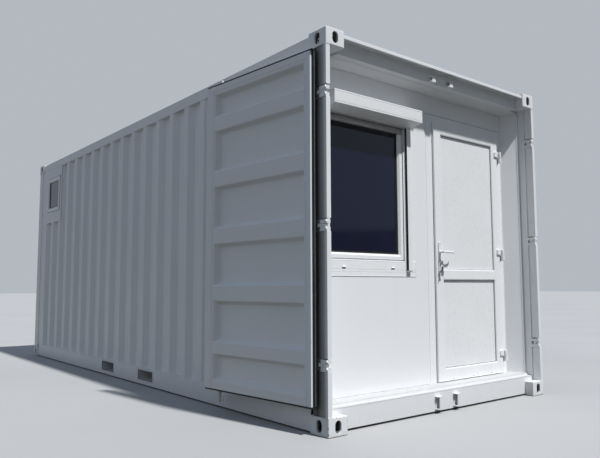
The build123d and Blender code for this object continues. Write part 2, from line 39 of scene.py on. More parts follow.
# All piece sizes below are in millimetres: x across, y back from the front
# plane of the cabin, z up. They become metres in the row frame through at().
Y0 = 3029.0
W, L, H = 1219.0, 6058.0, 2591.0
HINGE_Z = (431.0, 1301.0, 2165.0)
PIN = (-1200.0, 43.0)
OPEN = 264.6


# ------------------------------------------------------------------ materials
class Mat:
    """Small helper round one node tree."""

    def __init__(self, name):
        self.m = bpy.data.materials.new(name)
        self.m.use_nodes = True
        self.t = self.m.node_tree
        self.t.nodes.clear()
        out = self.t.nodes.new("ShaderNodeOutputMaterial")
        self.p = self.t.nodes.new("ShaderNodeBsdfPrincipled")
        self.t.links.new(self.p.outputs[0], out.inputs[0])
        self.tc = self.t.nodes.new("ShaderNodeTexCoord")
        self.co = self.tc.outputs["Object"]

    def node(self, kind, **kw):
        n = self.t.nodes.new(kind)
        for k, v in kw.items():
            setattr(n, k, v)
        return n

    def put(self, sock, val):
        if hasattr(val, "is_output"):
            self.t.links.new(val, sock)
        else:
            sock.default_value = val

    def scale(self, s, vec=None):
        n = self.node("ShaderNodeMapping")
        n.inputs["Scale"].default_value = s
        self.put(n.inputs["Vector"], vec or self.co)
        return n.outputs[0]

    def noise(self, scale, detail=3.0, rough=0.55, vec=None, dist=0.0):
        n = self.node("ShaderNodeTexNoise")
        n.inputs["Scale"].default_value = scale
        n.inputs["Detail"].default_value = detail
        n.inputs["Roughness"].default_value = rough
        n.inputs["Distortion"].default_value = dist
        self.put(n.inputs["Vector"], vec or self.co)
        return n.outputs[0]

    def voronoi(self, scale, vec=None, feature="F1"):
        n = self.node("ShaderNodeTexVoronoi", feature=feature)
        n.inputs["Scale"].default_value = scale
        self.put(n.inputs["Vector"], vec or self.co)
        return n.outputs["Distance"]

    def rng(self, val, a, b, c=0.0, d=1.0, smooth=True):
        n = self.node("ShaderNodeMapRange", interpolation_type="SMOOTHSTEP" if smooth else "LINEAR")
        self.put(n.inputs[0], val)
        for i, x in zip((1, 2, 3, 4), (a, b, c, d)):
            n.inputs[i].default_value = x
        return n.outputs[0]

    def math(self, op, a, b=0.0, c=0.0, clamp=False):
        n = self.node("ShaderNodeMath", operation=op, use_clamp=clamp)
        self.put(n.inputs[0], a)
        self.put(n.inputs[1], b)
        self.put(n.inputs[2], c)
        return n.outputs[0]

    def mul(self, *vals):
        out = vals[0]
        for v in vals[1:]:
            out = self.math("MULTIPLY", out, v)
        return out

    def mix(self, fac, a, b, blend="MIX"):
        n = self.node("ShaderNodeMix", data_type="RGBA", blend_type=blend, clamp_factor=True)
        self.put(n.inputs[0], fac)
        self.put(n.inputs[6], a if hasattr(a, "is_output") else (*a, 1.0))
        self.put(n.inputs[7], b if hasattr(b, "is_output") else (*b, 1.0))
        return n.outputs[2]

    def xyz(self, vec=None):
        n = self.node("ShaderNodeSeparateXYZ")
        self.put(n.inputs[0], vec or self.co)
        return n.outputs

    def attr(self, name):
        return self.node("ShaderNodeAttribute", attribute_name=name).outputs["Fac"]

    def bump(self, height, dist, strength=1.0, normal=None):
        n = self.node("ShaderNodeBump")
        n.inputs["Strength"].default_value = strength
        n.inputs["Distance"].default_value = dist
        self.put(n.inputs["Height"], height)
        if normal is not None:
            self.put(n.inputs["Normal"], normal)
        return n.outputs[0]

    def set(self, color=None, rough=None, normal=None, metal=0.0, spec=0.5, coat=0.0,
            coat_rough=0.1, ior=1.45):
        if color is not None:
            self.put(self.p.inputs["Base Color"], color if hasattr(color, "is_output") else (*color, 1.0))
        if rough is not None:
            self.put(self.p.inputs["Roughness"], rough)
        if normal is not None:
            self.put(self.p.inputs["Normal"], normal)
        self.p.inputs["Metallic"].default_value = metal
        self.p.inputs["Specular IOR Level"].default_value = spec
        self.p.inputs["Coat Weight"].default_value = coat
        self.p.inputs["Coat Roughness"].default_value = coat_rough
        self.p.inputs["IOR"].default_value = ior
        return self.m


def paint(name, base, rough=0.38, peel=0.00012, dents=0.0, streak=0.10, low=0.30, low_top=0.30,
          chips=0.0, dirt=(0.47, 0.45, 0.41), tone=0.035, coat=0.0, spec=0.5, hinge_gap_grime_and_shade=False,
          cavity_shade=False, tops=None):
    """Sprayed paint: soft tone drift, rain streaks, splashed dirt low down, orange peel,
    shallow dents, and chips down to dark metal on the 'edge' faces."""
    m = Mat(name)
    z = m.xyz()[2]
    drift = m.rng(m.noise(0.9, 4.0), 0.3, 0.7, 0.0, 1.0)
    c = m.mix(drift, base, tuple(v * (1.0 - tone) for v in base))
    cloud = m.noise(7.0, 5.0, 0.62)
    c = m.mix(m.rng(cloud, 0.35, 0.75, 0.0, 0.35), c, tuple(v * (1.0 - tone * 1.6) for v in base))
    st = m.noise(1.0, 5.0, 0.6, m.scale((26.0, 26.0, 0.8)))
    st2 = m.noise(1.0, 3.0, 0.6, m.scale((3.1, 3.1, 0.5)))
    sf = m.mul(m.rng(st, 0.50, 0.80), m.rng(st2, 0.42, 0.66), streak)
    c = m.mix(sf, c, dirt)
    spl = m.mul(m.rng(z, 0.0, low_top, 1.0, 0.0), m.rng(m.noise(34.0, 6.0, 0.7), 0.36, 0.68), low)
    c = m.mix(spl, c, dirt)
    speck = m.mul(m.rng(m.voronoi(120.0), 0.0, 0.16, 1.0, 0.0), m.rng(m.noise(4.0, 2.0), 0.55, 0.7), 0.25)
    c = m.mix(speck, c, tuple(v * 0.7 for v in dirt))
    r = m.math("ADD", m.rng(cloud, 0.3, 0.8, rough - 0.05, rough + 0.07), m.mul(spl, 0.35))
    r = m.math("ADD", r, m.mul(sf, 0.3))
    if chips > 0:
        ed = m.attr("edge")
        ch = m.mul(ed, m.rng(m.noise(70.0, 5.0, 0.7), 0.60 - chips * 0.1, 0.64 - chips * 0.1),
                   m.rng(m.noise(2.3, 2.0), 0.48, 0.60))
        rust = m.mix(m.noise(210.0, 3.0), (0.16, 0.085, 0.045), (0.24, 0.20, 0.17))
        c = m.mix(ch, c, rust)
        r = m.math("ADD", r, m.mul(ch, 0.35))
        worn = m.mul(ed, m.rng(m.noise(16.0, 4.0, 0.6), 0.42, 0.66), 0.28)
        c = m.mix(worn, c, tuple(v * 0.80 for v in base))
    if tops:
        # the paint above this height, apart from the riser, is made greyer and rougher
        grey_top = m.mul(m.rng(z, tops[0], tops[1]), m.rng(m.noise(9.0, 5.0, 0.65), 0.25, 0.7, 0.82, 1.0), tops[2])
        riser = m.mul(m.rng(z, 0.1560, 0.1580, 0.0, 1.0), m.rng(z, 0.1722, 0.1738, 1.0, 0.0))
        grey_top = m.mul(grey_top, m.math("SUBTRACT", 1.0, riser))
        c = m.mix(grey_top, c, (0.45, 0.45, 0.445))
        r = m.math("ADD", r, m.mul(grey_top, 0.25))
    if cavity_shade:
        # painted shade: the insides of the corner castings are darkened to near black
        ax, ay, _ = m.xyz()
        ax, ay = m.math("ABSOLUTE", ax), m.math("ABSOLUTE", ay)
        zz = m.math("ABSOLUTE", m.math("SUBTRACT", m.math("ABSOLUTE", m.math("SUBTRACT", z, 1.2955)), 1.2365))
        cavity_shade_mask = m.mul(m.rng(ax, 1.204, 1.212, 1.0, 0.0, False), m.rng(ax, 1.064, 1.070, 0.0, 1.0, False),
                    m.rng(ay, 3.014, 3.022, 1.0, 0.0, False), m.rng(ay, 2.858, 2.864, 0.0, 1.0, False),
                    m.rng(zz, 0.046, 0.053, 1.0, 0.0, False), m.rng(m.noise(30.0, 4.0, 0.6), 0.2, 0.6, 0.86, 0.96))
        c = m.mix(cavity_shade_mask, c, (0.075, 0.072, 0.070))
        r = m.math("ADD", r, m.mul(cavity_shade_mask, 0.3))
    if hinge_gap_grime_and_shade:
        # road grime on the outer side of the posts plus painted shade, both getting darker towards the hinge edge of
        # the leaf, where the leaf shades the post
        x, y, _ = m.xyz()
        outer = m.rng(m.math("ABSOLUTE", x), 1.200, 1.207, 0.0, 1.0)
        gap_grime_and_shade_ramp = m.node("ShaderNodeValToRGB")
        m.put(gap_grime_and_shade_ramp.inputs[0], m.rng(y, -3.027, -2.925, 0.0, 1.0, False))
        el = gap_grime_and_shade_ramp.color_ramp.elements
        el[0].position, el[0].color = 0.0, (0, 0, 0, 1)
        el[1].position, el[1].color = 1.0, (0.93, 0.93, 0.93, 1)
        for at, v in ((0.08, 0.08), (0.25, 0.40), (0.40, 0.54), (0.50, 0.62), (0.70, 0.74), (0.85, 0.85)):
            gap_grime_and_shade_ramp.color_ramp.elements.new(at).color = (v, v, v, 1)
        uneven = m.rng(m.noise(1.0, 5.0, 0.6, m.scale((30.0, 30.0, 2.2))), 0.3, 0.7, 0.90, 1.04)
        z = m.xyz()[2]
        clean = [m.rng(m.math("ABSOLUTE", m.math("SUBTRACT", z, h * 0.001)), 0.0365, 0.0385, 0.0, 1.0, False)
                 for h in HINGE_Z]
        g = m.mul(outer, gap_grime_and_shade_ramp.outputs[0], uneven, *clean)
        c = m.mix(g, c, (0.036, 0.031, 0.027))
        r = m.math("ADD", r, m.mul(g, 0.30))
    n = m.bump(m.noise(520.0, 2.0, 0.5), peel, 1.0)
    if dents > 0:
        n = m.bump(m.noise(2.6, 2.0, 0.45), dents, 1.0, n)
    return m.set(c, r, n, spec=spec, coat=coat)


WHITE = (0.775, 0.79, 0.81)
MATS = {}
MATS["frame_paint"] = paint("frame_paint", WHITE, 0.36, chips=0.35, streak=0.07, low=0.13, low_top=0.13)
MATS["post_paint"] = paint("post_paint", WHITE, 0.36, chips=0.35, streak=0.07, low=0.13, low_top=0.13, hinge_gap_grime_and_shade=True)
MATS["sill_paint"] = paint("sill_paint", WHITE, 0.38, chips=0.35, streak=0.07, low=0.13, low_top=0.13,
                           tops=(0.1455, 0.1515, 0.78))
MATS["casting_paint"] = paint("casting_paint", WHITE, 0.42, peel=0.0005, chips=0.8, streak=0.06, low=0.22, cavity_shade=True,
                              low_top=0.08)
MATS["panel_paint"] = paint("panel_paint", (0.765, 0.78, 0.80), 0.36, dents=0.0030, streak=0.09, low=0.14,
                            low_top=0.32)
MATS["door_paint"] = paint("door_paint", (0.77, 0.785, 0.805), 0.35, dents=0.0016, chips=0.25, streak=0.06,
                           low=0.10, low_top=0.36)
MATS["roof_paint"] = paint("roof_paint", (0.60, 0.605, 0.61), 0.50, dents=0.004, streak=0.0, low=0.0, tone=0.06)
MATS["front_wall_skin"] = paint("front_wall_skin", (0.80, 0.812, 0.83), 0.33, peel=0.00004, dents=0.0008,
                                streak=0.05, low=0.14, low_top=0.30, tone=0.02)
MATS["underside"] = paint("underside", (0.30, 0.30, 0.30), 0.6, low=0.5, low_top=0.2, chips=0.8, tone=0.2)


def pvc(name, base, rough, tone=0.015, head=None):
    m = Mat(name)
    mott = m.noise(4.0, 2.0, 0.5)
    c = m.mix(m.rng(mott, 0.3, 0.75), base, tuple(v * (1 - tone) for v in base))
    st = m.mul(m.rng(m.noise(1.0, 4.0, 0.6, m.scale((60.0, 60.0, 1.4))), 0.55, 0.85),
               m.rng(m.noise(2.2, 2.0), 0.45, 0.7), 0.05)
    c = m.mix(st, c, (0.50, 0.48, 0.44))
    dust = m.mul(m.rng(m.xyz()[2], 0.15, 0.42, 1.0, 0.0), m.rng(m.noise(40.0, 5.0, 0.7), 0.4, 0.7), 0.14)
    c = m.mix(dust, c, (0.50, 0.47, 0.42))
    if head:
        # painted shade under the shutter box: the sash head darkens towards near black, and is made rougher
        box_shade_mask = m.mul(m.rng(m.xyz()[2], head[0], head[1]), m.rng(m.noise(1.0, 4.0, 0.6, m.scale((18.0, 18.0, 60.0))),
                                                            0.25, 0.65, 0.86, 1.04), head[2])
        c = m.mix(box_shade_mask, c, (0.085, 0.083, 0.080))
        dust = m.math("ADD", dust, m.mul(box_shade_mask, 0.25))
    r = m.math("ADD", m.rng(m.noise(22.0, 3.0), 0.3, 0.8, rough - 0.04, rough + 0.06), m.mul(dust, 0.5))
    n = m.bump(m.noise(5.0, 2.0, 0.5), 0.00012, 0.5)
    return m.set(c, r, n, spec=0.5)


MATS["white_pvc"] = pvc("white_pvc", (0.82, 0.83, 0.845), 0.24)
# sash PVC with painted shade at its head, under the shutter box
MATS["sash_pvc_shaded_head"] = pvc("sash_pvc_shaded_head", (0.82, 0.83, 0.845), 0.24, head=(2.058, 2.076, 0.66))
MATS["infill_panel"] = pvc("infill_panel", (0.79, 0.80, 0.815), 0.30, 0.025)


def coated(name, base, rough, grain):
    """Powder-coated aluminium."""
    m = Mat(name)
    c = m.mix(m.rng(m.noise(3.0, 4.0), 0.3, 0.75), base, tuple(v * 0.965 for v in base))
    gr = m.mul(m.rng(m.noise(18.0, 6.0, 0.7), 0.45, 0.75), 0.10)
    c = m.mix(gr, c, (0.52, 0.50, 0.46))
    r = m.rng(m.noise(30.0, 3.0), 0.3, 0.8, rough - 0.05, rough + 0.07)
    n = m.bump(m.noise(grain, 3.0, 0.6), 0.00010, 1.0)
    return m.set(c, r, n, spec=0.5)


MATS["shutter_aluminium"] = coated("shutter_aluminium", (0.80, 0.81, 0.825), 0.36, 900.0)
MATS["handle_metal"] = coated("handle_metal", (0.78, 0.785, 0.80), 0.30, 1400.0)
MATS["alu_frame"] = coated("alu_frame", (0.50, 0.51, 0.53), 0.34, 1100.0)


def steel(name, base, rough, metal=1.0, aniso=(300.0, 300.0, 14.0), rusty=0.0):
    m = Mat(name)
    g = m.noise(1.0, 3.0, 0.6, m.scale(aniso))
    c = m.mix(m.rng(g, 0.3, 0.7), tuple(v * 0.82 for v in base), base)
    if rusty:
        rf = m.mul(m.rng(m.noise(60.0, 6.0, 0.7), 0.50, 0.66), rusty)
        c = m.mix(rf, c, (0.20, 0.10, 0.05))
        r = m.math("ADD", m.rng(g, 0.3, 0.7, rough - 0.06, rough + 0.10), m.mul(rf, 0.4))
    else:
        r = m.rng(g, 0.3, 0.7, rough - 0.06, rough + 0.10)
    n = m.bump(g, 0.00006, 1.0)
    return m.set(c, r, n, metal=metal)


MATS["zinc"] = steel("zinc", (0.62, 0.63, 0.65), 0.38, rusty=0.15)
MATS["pin_steel"] = steel("pin_steel", (0.40, 0.39, 0.38), 0.42, rusty=0.5)
MATS["brass"] = steel("brass", (0.66, 0.55, 0.34), 0.30)
MATS["key_steel"] = steel("key_steel", (0.30, 0.30, 0.31), 0.28)


def rubber(name, base, rough=0.62, dusty=0.55):
    m = Mat(name)
    d = m.mul(m.rng(m.noise(48.0, 6.0, 0.7), 0.42, 0.74), dusty)
    c = m.mix(d, base, tuple(v * 2.6 + 0.012 for v in base))
    chalk = m.mul(m.rng(m.noise(1.0, 4.0, 0.6, m.scale((18.0, 18.0, 1.2))), 0.55, 0.78), 0.20)
    c = m.mix(chalk, c, (0.16, 0.16, 0.16))
    r = m.rng(m.noise(120.0, 3.0), 0.3, 0.8, rough - 0.08, rough + 0.12)
    n = m.bump(m.noise(700.0, 3.0, 0.6), 0.00012, 1.0)
    return m.set(c, r, n, spec=0.35)


MATS["black_rubber"] = rubber("black_rubber", (0.012, 0.012, 0.014))
MATS["brush_pile"] = rubber("brush_pile", (0.010, 0.010, 0.011), 0.85)
MATS["spacer_and_shade_black"] = rubber("spacer_and_shade_black", (0.004, 0.004, 0.005), 0.85, 0.12)
# grey rubber for seals and the key fob, also used for painted shade and a painted highlight
MATS["grey_rubber_and_painted_light"] = rubber("grey_rubber_and_painted_light", (0.10, 0.105, 0.11), 0.6)
# near-black plates standing in for the shade inside slots: painted shade
MATS["slot_shade_black"] = rubber("slot_shade_black", (0.03, 0.03, 0.032), 0.8)


def glass(name, base):
    m = Mat(name)
    # painted reflection: the pane's colour grows lighter towards the top, as the sky would show in it
    painted_sky_reflection = m.rng(m.xyz()[2], 1.15, 2.1)
    c = m.mix(painted_sky_reflection, tuple(v * 0.8 for v in base), base)
    c = m.mix(m.mul(m.rng(m.noise(2.4, 4.0, 0.6), 0.4, 0.75), 0.5), c, tuple(v * 1.25 for v in base))
    film = m.noise(9.0, 5.0, 0.65)
    r = m.rng(film, 0.35, 0.8, 0.025, 0.085)
    n = m.bump(m.noise(1.1, 1.0, 0.4), 0.0006, 1.0)
    return m.set(c, r, n, spec=0.5, coat=0.3, coat_rough=0.02, ior=1.52)


MATS["dark_glass"] = glass("dark_glass", (0.005, 0.006, 0.024))


def boards(name):
    """White-faced lining boards with a faint texture."""
    m = Mat(name)
    x, y, z = m.xyz()
    c = m.mix(m.rng(m.noise(1.0, 4.0, 0.6, m.scale((2.0, 2.0, 0.4))), 0.3, 0.7), (0.74, 0.73, 0.70), (0.69, 0.68, 0.65))
    c = m.mix(m.mul(m.rng(m.noise(60.0, 5.0, 0.7), 0.5, 0.8), 0.15), c, (0.48, 0.45, 0.40))
    n = m.bump(m.noise(260.0, 4.0, 0.6), 0.0002, 1.0)
    return m.set(c, m.rng(m.noise(14.0, 3.0), 0.3, 0.8, 0.46, 0.60), n)


MATS["lining_board"] = boards("lining_board")


def plywood(name):
    m = Mat(name)
    grain = m.noise(1.0, 6.0, 0.65, m.scale((90.0, 3.0, 90.0)), 0.6)
    wave = m.noise(1.0, 4.0, 0.6, m.scale((14.0, 1.1, 14.0)), 1.5)
    c = m.mix(m.rng(grain, 0.3, 0.7), (0.23, 0.145, 0.082), (0.37, 0.255, 0.155))
    c = m.mix(m.rng(wave, 0.4, 0.7, 0.0, 0.55), c, (0.19, 0.115, 0.065))
    x, y, z = m.xyz()
    fy = m.math("FRACT", m.math("MULTIPLY", y, 1.0 / 1.22))
    seam = m.rng(m.math("ABSOLUTE", m.math("SUBTRACT", fy, 0.5)), 0.496, 0.4995)
    c = m.mix(m.mul(seam, 0.85), c, (0.03, 0.02, 0.015))
    scuff = m.mul(m.rng(m.noise(7.0, 6.0, 0.72), 0.5, 0.8), 0.35)
    c = m.mix(scuff, c, (0.30, 0.27, 0.23))
    n = m.bump(m.math("SUBTRACT", m.mul(grain, 0.5), seam), 0.0008, 0.7)
    return m.set(c, m.rng(grain, 0.3, 0.7, 0.42, 0.62), n)


MATS["floor_board"] = plywood("floor_board")


# ------------------------------------------------------------------- geometry
def at(p):
    """Cabin millimetres (x, y back from the front plane, z) to row-frame metres."""
    return Vector((p[0] * 0.001, (p[1] - Y0) * 0.001, p[2] * 0.001))


_C, _S = math.cos(math.radians(-OPEN)), math.sin(math.radians(-OPEN))


def at_leaf(p):
    """Closed-leaf millimetres (u, v, z) from the hinge pin, folded back."""
    return at((PIN[0] + p[0] * _C - p[1] * _S, PIN[1] + p[0] * _S + p[1] * _C, p[2]))


def mirrored(f):
    return lambda p: Vector((-1, 1, 1)) * f(p)


def fillet(pts, r, seg=3, closed=True):
    """Rounds the corners of a 2-D line; r is one radius or one per corner."""
    n = len(pts)
    out = []
    for i, p in enumerate(pts):
        rr = r[i] if isinstance(r, (list, tuple)) else r
        if rr <= 0 or (not closed and i in (0, n - 1)):
            out.append(tuple(p))
            continue
        p = Vector(p)
        a, b = Vector(pts[i - 1]) - p, Vector(pts[(i + 1) % n]) - p
        la, lb = a.length, b.length
        a, b = a / la, b / lb
        cosv = max(-1.0, min(1.0, a.dot(b)))
        half = math.acos(cosv) / 2
        if half > math.pi / 2 - 0.02:
            out.append(tuple(p))
            continue
        t = min(rr / math.tan(half), 0.48 * la, 0.48 * lb)
        rad = t * math.tan(half)
        c = p + (a + b).normalized() * (rad / math.sin(half))
        s, e = p + a * t - c, p + b * t - c
        ang = math.pi - 2 * half
        sgn = 1 if s.x * e.y - s.y * e.x > 0 else -1
        for k in range(seg + 1):
            w = sgn * ang * k / seg
            out.append((c.x + s.x * math.cos(w) - s.y * math.sin(w),
                        c.y + s.x * math.sin(w) + s.y * math.cos(w)))
    return out


def offset_line(pts, d):
    """Open 2-D line moved d to its left."""
    out = []
    for i, p in enumerate(pts):
        ns = []
        for q, r in ((i - 1, i), (i, i + 1)):
            if 0 <= q and r < len(pts):
                e = Vector(pts[r]) - Vector(pts[q])
                if e.length > 1e-9:
                    ns.append(Vector((-e.y, e.x)).normalized())
        m = sum(ns, Vector((0, 0))).normalized()
        out.append(tuple(Vector(p) + m * (d / max(0.3, m.dot(ns[0])))))
    return out


AXES = {"x": lambda a, b, w: (w, a, b), "y": lambda a, b, w: (a, w, b), "z": lambda a, b, w: (a, b, w)}
PIECES = []


class Piece:
    """Collects closed islands, each with its own material, into one mesh."""

    def __init__(self, name, slot, mats, body="cabin", to=at, flip=False, stands_for=()):
        self.name, self.slot, self.mats, self.body = name, slot, list(mats), body
        self.to, self.flip, self.stands_for = to, flip, stands_for
        self.bm = bmesh.new()
        self.lay = self.bm.faces.layers.float.new("edge")

    def _m(self, mat):
        if mat is None:
            return 0
        if mat not in self.mats:
            self.mats.append(mat)
        return self.mats.index(mat)

    def merge(self, t, mat=None, smooth=True, raw=False):
        mi = self._m(mat)
        tl = t.faces.layers.float.get("edge")
        t.verts.index_update()
        vs = [self.bm.verts.new(v.co if raw else self.to(v.co)) for v in t.verts]
        for f in t.faces:
            try:
                g = self.bm.faces.new([vs[v.index] for v in f.verts])
            except ValueError:
                continue
            g.material_index = mi
            g.smooth = smooth
            if tl is not None:
                g[self.lay] = f[tl]
        t.free()

    def solid(self, verts, faces, mat=None, r=1.5, seg=2, sel=None, smooth=True, limit=0.4, clamp=True):
        t = bmesh.new()
        lay = t.faces.layers.float.new("edge")
        vs = [t.verts.new(v) for v in verts]
        for f in faces:
            t.faces.new([vs[i] for i in f])
        bmesh.ops.recalc_face_normals(t, faces=t.faces)
        if r > 0:
            es = [e for e in t.edges if len(e.link_faces) == 2 and e.calc_face_angle(0) > limit
                  and (sel is None or sel(e))]
            res = bmesh.ops.bevel(t, geom=es, offset=r, offset_type="OFFSET", segments=seg, profile=0.5,
                                  affect="EDGES", clamp_overlap=clamp, material=-1)
            for f in res["faces"]:
                f[lay] = 1.0
        self.merge(t, mat, smooth)

    def box(self, x0, x1, y0, y1, z0, z1, mat=None, r=1.5, seg=2, **kw):
        v = [(x, y, z) for z in (z0, z1) for y in (y0, y1) for x in (x0, x1)]
        f = [(0, 1, 3, 2), (4, 6, 7, 5), (0, 4, 5, 1), (2, 3, 7, 6), (0, 2, 6, 4), (1, 5, 7, 3)]
        r = min(r, 0.45 * abs(x1 - x0), 0.45 * abs(y1 - y0), 0.45 * abs(z1 - z0))
        self.solid(v, f, mat, r, seg, **kw)

    def prism(self, axis, pts, a, b, mat=None, r=1.5, seg=2, **kw):
        ax = AXES[axis]
        n = len(pts)
        v = [ax(p[0], p[1], a) for p in pts] + [ax(p[0], p[1], b) for p in pts]
        f = [tuple(range(n))[::-1], tuple(range(n, 2 * n))]
        f += [(i, (i + 1) % n, n + (i + 1) % n, n + i) for i in range(n)]
        self.solid(v, f, mat, r, seg, **kw)

    def sheet(self, axis, line, a, b, t, mat=None, steps=1):
        """Bent sheet: the line is its outer face, t the thickness to the line's left."""
        ax = AXES[axis]
        back = offset_line(line, t)
        n = len(line)
        m = bmesh.new()
        ws = [a + (b - a) * k / steps for k in range(steps + 1)]
        fr = [[m.verts.new(ax(p[0], p[1], w)) for p in line] for w in ws]
        bk = [[m.verts.new(ax(p[0], p[1], w)) for p in back] for w in ws]
        for k in range(steps):
            for i in range(n - 1):
                m.faces.new((fr[k][i], fr[k][i + 1], fr[k + 1][i + 1], fr[k + 1][i]))
                m.faces.new((bk[k][i + 1], bk[k][i], bk[k + 1][i], bk[k + 1][i + 1]))
            for i in (0, n - 1):
                m.faces.new((fr[k][i], fr[k + 1][i], bk[k + 1][i], bk[k][i]))
        for k in (0, steps):
            for i in range(n - 1):
                m.faces.new((fr[k][i], bk[k][i], bk[k][i + 1], fr[k][i + 1]))
        bmesh.ops.recalc_face_normals(m, faces=m.faces)
        self.merge(m, mat)

    def lathe(self, prof, origin, direction, n=20, mat=None, smooth=True, edge=0.0):
        """Closed turned shape: prof is (height along direction, radius)."""
        d = Vector(direction).normalized()
        a = d.orthogonal().normalized()
        b = d.cross(a)
        o = Vector(origin)
        m = bmesh.new()
        rings = []
        for h, r in prof:
            if r <= 1e-6:
                rings.append([m.verts.new(o + d * h)])
            else:
                rings.append([m.verts.new(o + d * h + (a * math.cos(2 * math.pi * k / n)
                                                       + b * math.sin(2 * math.pi * k / n)) * r)
                              for k in range(n)])
        for p, q in zip(rings, rings[1:]):
            for k in range(n):
                j = (k + 1) % n
                if len(p) == 1:
                    m.faces.new((p[0], q[j], q[k]))
                elif len(q) == 1:
                    m.faces.new((p[k], p[j], q[0]))
                else:
                    m.faces.new((p[k], p[j], q[j], q[k]))
        for ring in (rings[0], rings[-1]):
            if len(ring) > 1:
                m.faces.new(ring)
        bmesh.ops.recalc_face_normals(m, faces=m.faces)
        self.merge(m, mat, smooth)

    def rod(self, origin, direction, length, r, mat=None, n=20, bev=1.0):
        self.lathe([(0, r - bev), (bev, r), (length - bev, r), (length, r - bev)], origin, direction, n, mat)

    def tube(self, pts, r, mat=None, n=8, closed=False, wob=0.0, flat=1.0):
        """Round bar along points; wob ripples its radius like a weld bead."""
        P = [Vector(p) for p in pts]
        m = bmesh.new()
        rings = []
        N = len(P)
        prev = None
        for i, p in enumerate(P):
            if closed:
                d = (P[(i + 1) % N] - P[i - 1]).normalized()
            else:
                d = (P[min(i + 1, N - 1)] - P[max(i - 1, 0)]).normalized()
            if prev is None:
                a = d.orthogonal().normalized()
            else:
                a = (prev - d * prev.dot(d)).normalized()
            prev = a
            b = d.cross(a)
            rr = r * (1 + (random.uniform(-wob, wob) if wob else 0.0))
            rings.append([m.verts.new(p + a * math.cos(2 * math.pi * k / n) * rr
                                      + b * math.sin(2 * math.pi * k / n) * rr * flat) for k in range(n)])
        pairs = list(zip(rings, rings[1:])) + ([(rings[-1], rings[0])] if closed else [])
        for p, q in pairs:
            for k in range(n):
                j = (k + 1) % n
                m.faces.new((p[k], p[j], q[j], q[k]))
        if not closed:
            m.faces.new(rings[0])
            m.faces.new(rings[-1])
        bmesh.ops.recalc_face_normals(m, faces=m.faces)
        self.merge(m, mat)

    def weld(self, p, q, r=4.0, mat=None, step=9.0):
        """Fillet-weld bead from p to q, laid half into the corner."""
        p, q = Vector(p), Vector(q)
        k = max(2, int((q - p).length / step))
        self.tube([p + (q - p) * i / k for i in range(k + 1)], r, mat, 6, wob=0.16)

    def bolt(self, p, d, af=19.0, head=9.0, washer=True, mat="zinc", domed=False):
        p, d = Vector(p), Vector(d).normalized()
        if washer:
            self.lathe([(-1.0, af * 0.80), (1.2, af * 0.80), (1.8, af * 0.76)], p, d, 20, mat)
            p = p + d * 1.7
        if domed:
            self.lathe([(-1, af * .5), (head * .25, af * .5), (head * .62, af * .40), (head * .88, af * .24),
                        (head, 0)], p, d, 16, mat)
        else:
            self.lathe([(-1, af * .577), (head * .8, af * .577), (head, af * .49)], p, d, 6, mat, smooth=False)

    def ring(self, a0, a1, b0, b1, prof, mat=None, r=0.8, seg=1, place=None, split=True, open_low=False,
             gap=0.25):
        """Frame round a rectangle, mitred at the corners. prof: closed (inward, depth) outline."""
        place = place or (lambda a, b, d: (a, d, b))
        n = len(prof)
        corners = [((a0, b0), (1, 1)), ((a1, b0), (-1, 1)), ((a1, b1), (-1, -1)), ((a0, b1), (1, -1))]

        def pt(c, d, dep, along=(0, 0)):
            (a, b), (sa, sb) = c
            return place(a + sa * d + along[0], b + sb * d + along[1], dep)
        for i in range(4):
            if open_low and i == 0:
                continue
            c, e = corners[i], corners[(i + 1) % 4]
            al = (1, 0) if i == 0 else (0, 1) if i == 1 else (-1, 0) if i == 2 else (0, -1)
            v = []
            for k, (q, s) in enumerate(((c, 1), (e, -1))):
                sq = open_low and ((i == 1 and k == 0) or (i == 3 and k == 1))
                for d, dep in prof:
                    if sq:
                        (a, b), (sa, sb) = q
                        v.append(place(a + sa * d, b, dep))
                    else:
                        v.append(pt(q, d, dep, (al[0] * s * gap, al[1] * s * gap)))
            f = [tuple(range(n))[::-1], tuple(range(n, 2 * n))]
            f += [(j, (j + 1) % n, n + (j + 1) % n, n + j) for j in range(n)]
            self.solid(v, f, mat, r, seg)

    def done(self, smooth_by=True):
        if self.flip:
            bmesh.ops.reverse_faces(self.bm, faces=self.bm.faces)
        me = bpy.data.meshes.new(self.name)
        self.bm.to_mesh(me)
        self.bm.free()
        for mt in self.mats:
            me.materials.append(MATS[mt])
        ob = bpy.data.objects.new(self.name, me)
        bpy.context.scene.collection.objects.link(ob)
        wn = ob.modifiers.new("normals", "WEIGHTED_NORMAL")
        wn.keep_sharp = True
        wn.weight = 60
        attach(ob, self.body)
        if self.stands_for:
            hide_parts(*self.stands_for)
        PIECES.append(ob)
        return ob


def softened(node, slot, mat, body="cabin", r=2.0, seg=2, limit=0.5, sel=None, extra=None, name=None):
    """The CAD node's own shape with its edges rounded, as a new piece."""
    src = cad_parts[node].data
    t = bmesh.new()
    lay = t.faces.layers.float.new("edge")
    t.from_mesh(src)
    lay = t.faces.layers.float.get("edge") or t.faces.layers.float.new("edge")
    bmesh.ops.remove_doubles(t, verts=t.verts, dist=2e-6)
    bmesh.ops.dissolve_limit(t, angle_limit=0.02, verts=t.verts, edges=t.edges)
    es = [e for e in t.edges if len(e.link_faces) == 2 and e.calc_face_angle(0) > limit and (sel is None or sel(e))]
    if es and r > 0:
        res = bmesh.ops.bevel(t, geom=es, offset=r * 0.001, offset_type="OFFSET", segments=seg, profile=0.5,
                              affect="EDGES", clamp_overlap=True, material=-1)
        for f in res["faces"]:
            f[lay] = 1.0
    p = Piece(name or node + "_body", slot, [mat], body=body, stands_for=(node,))
    p.merge(t, None, True, raw=True)
    if extra:
        extra(p)
    return p.done()


# ------------------------------------------------------------ container frame
def long_edge(mm):
    return lambda e: e.calc_length() > mm * 0.001


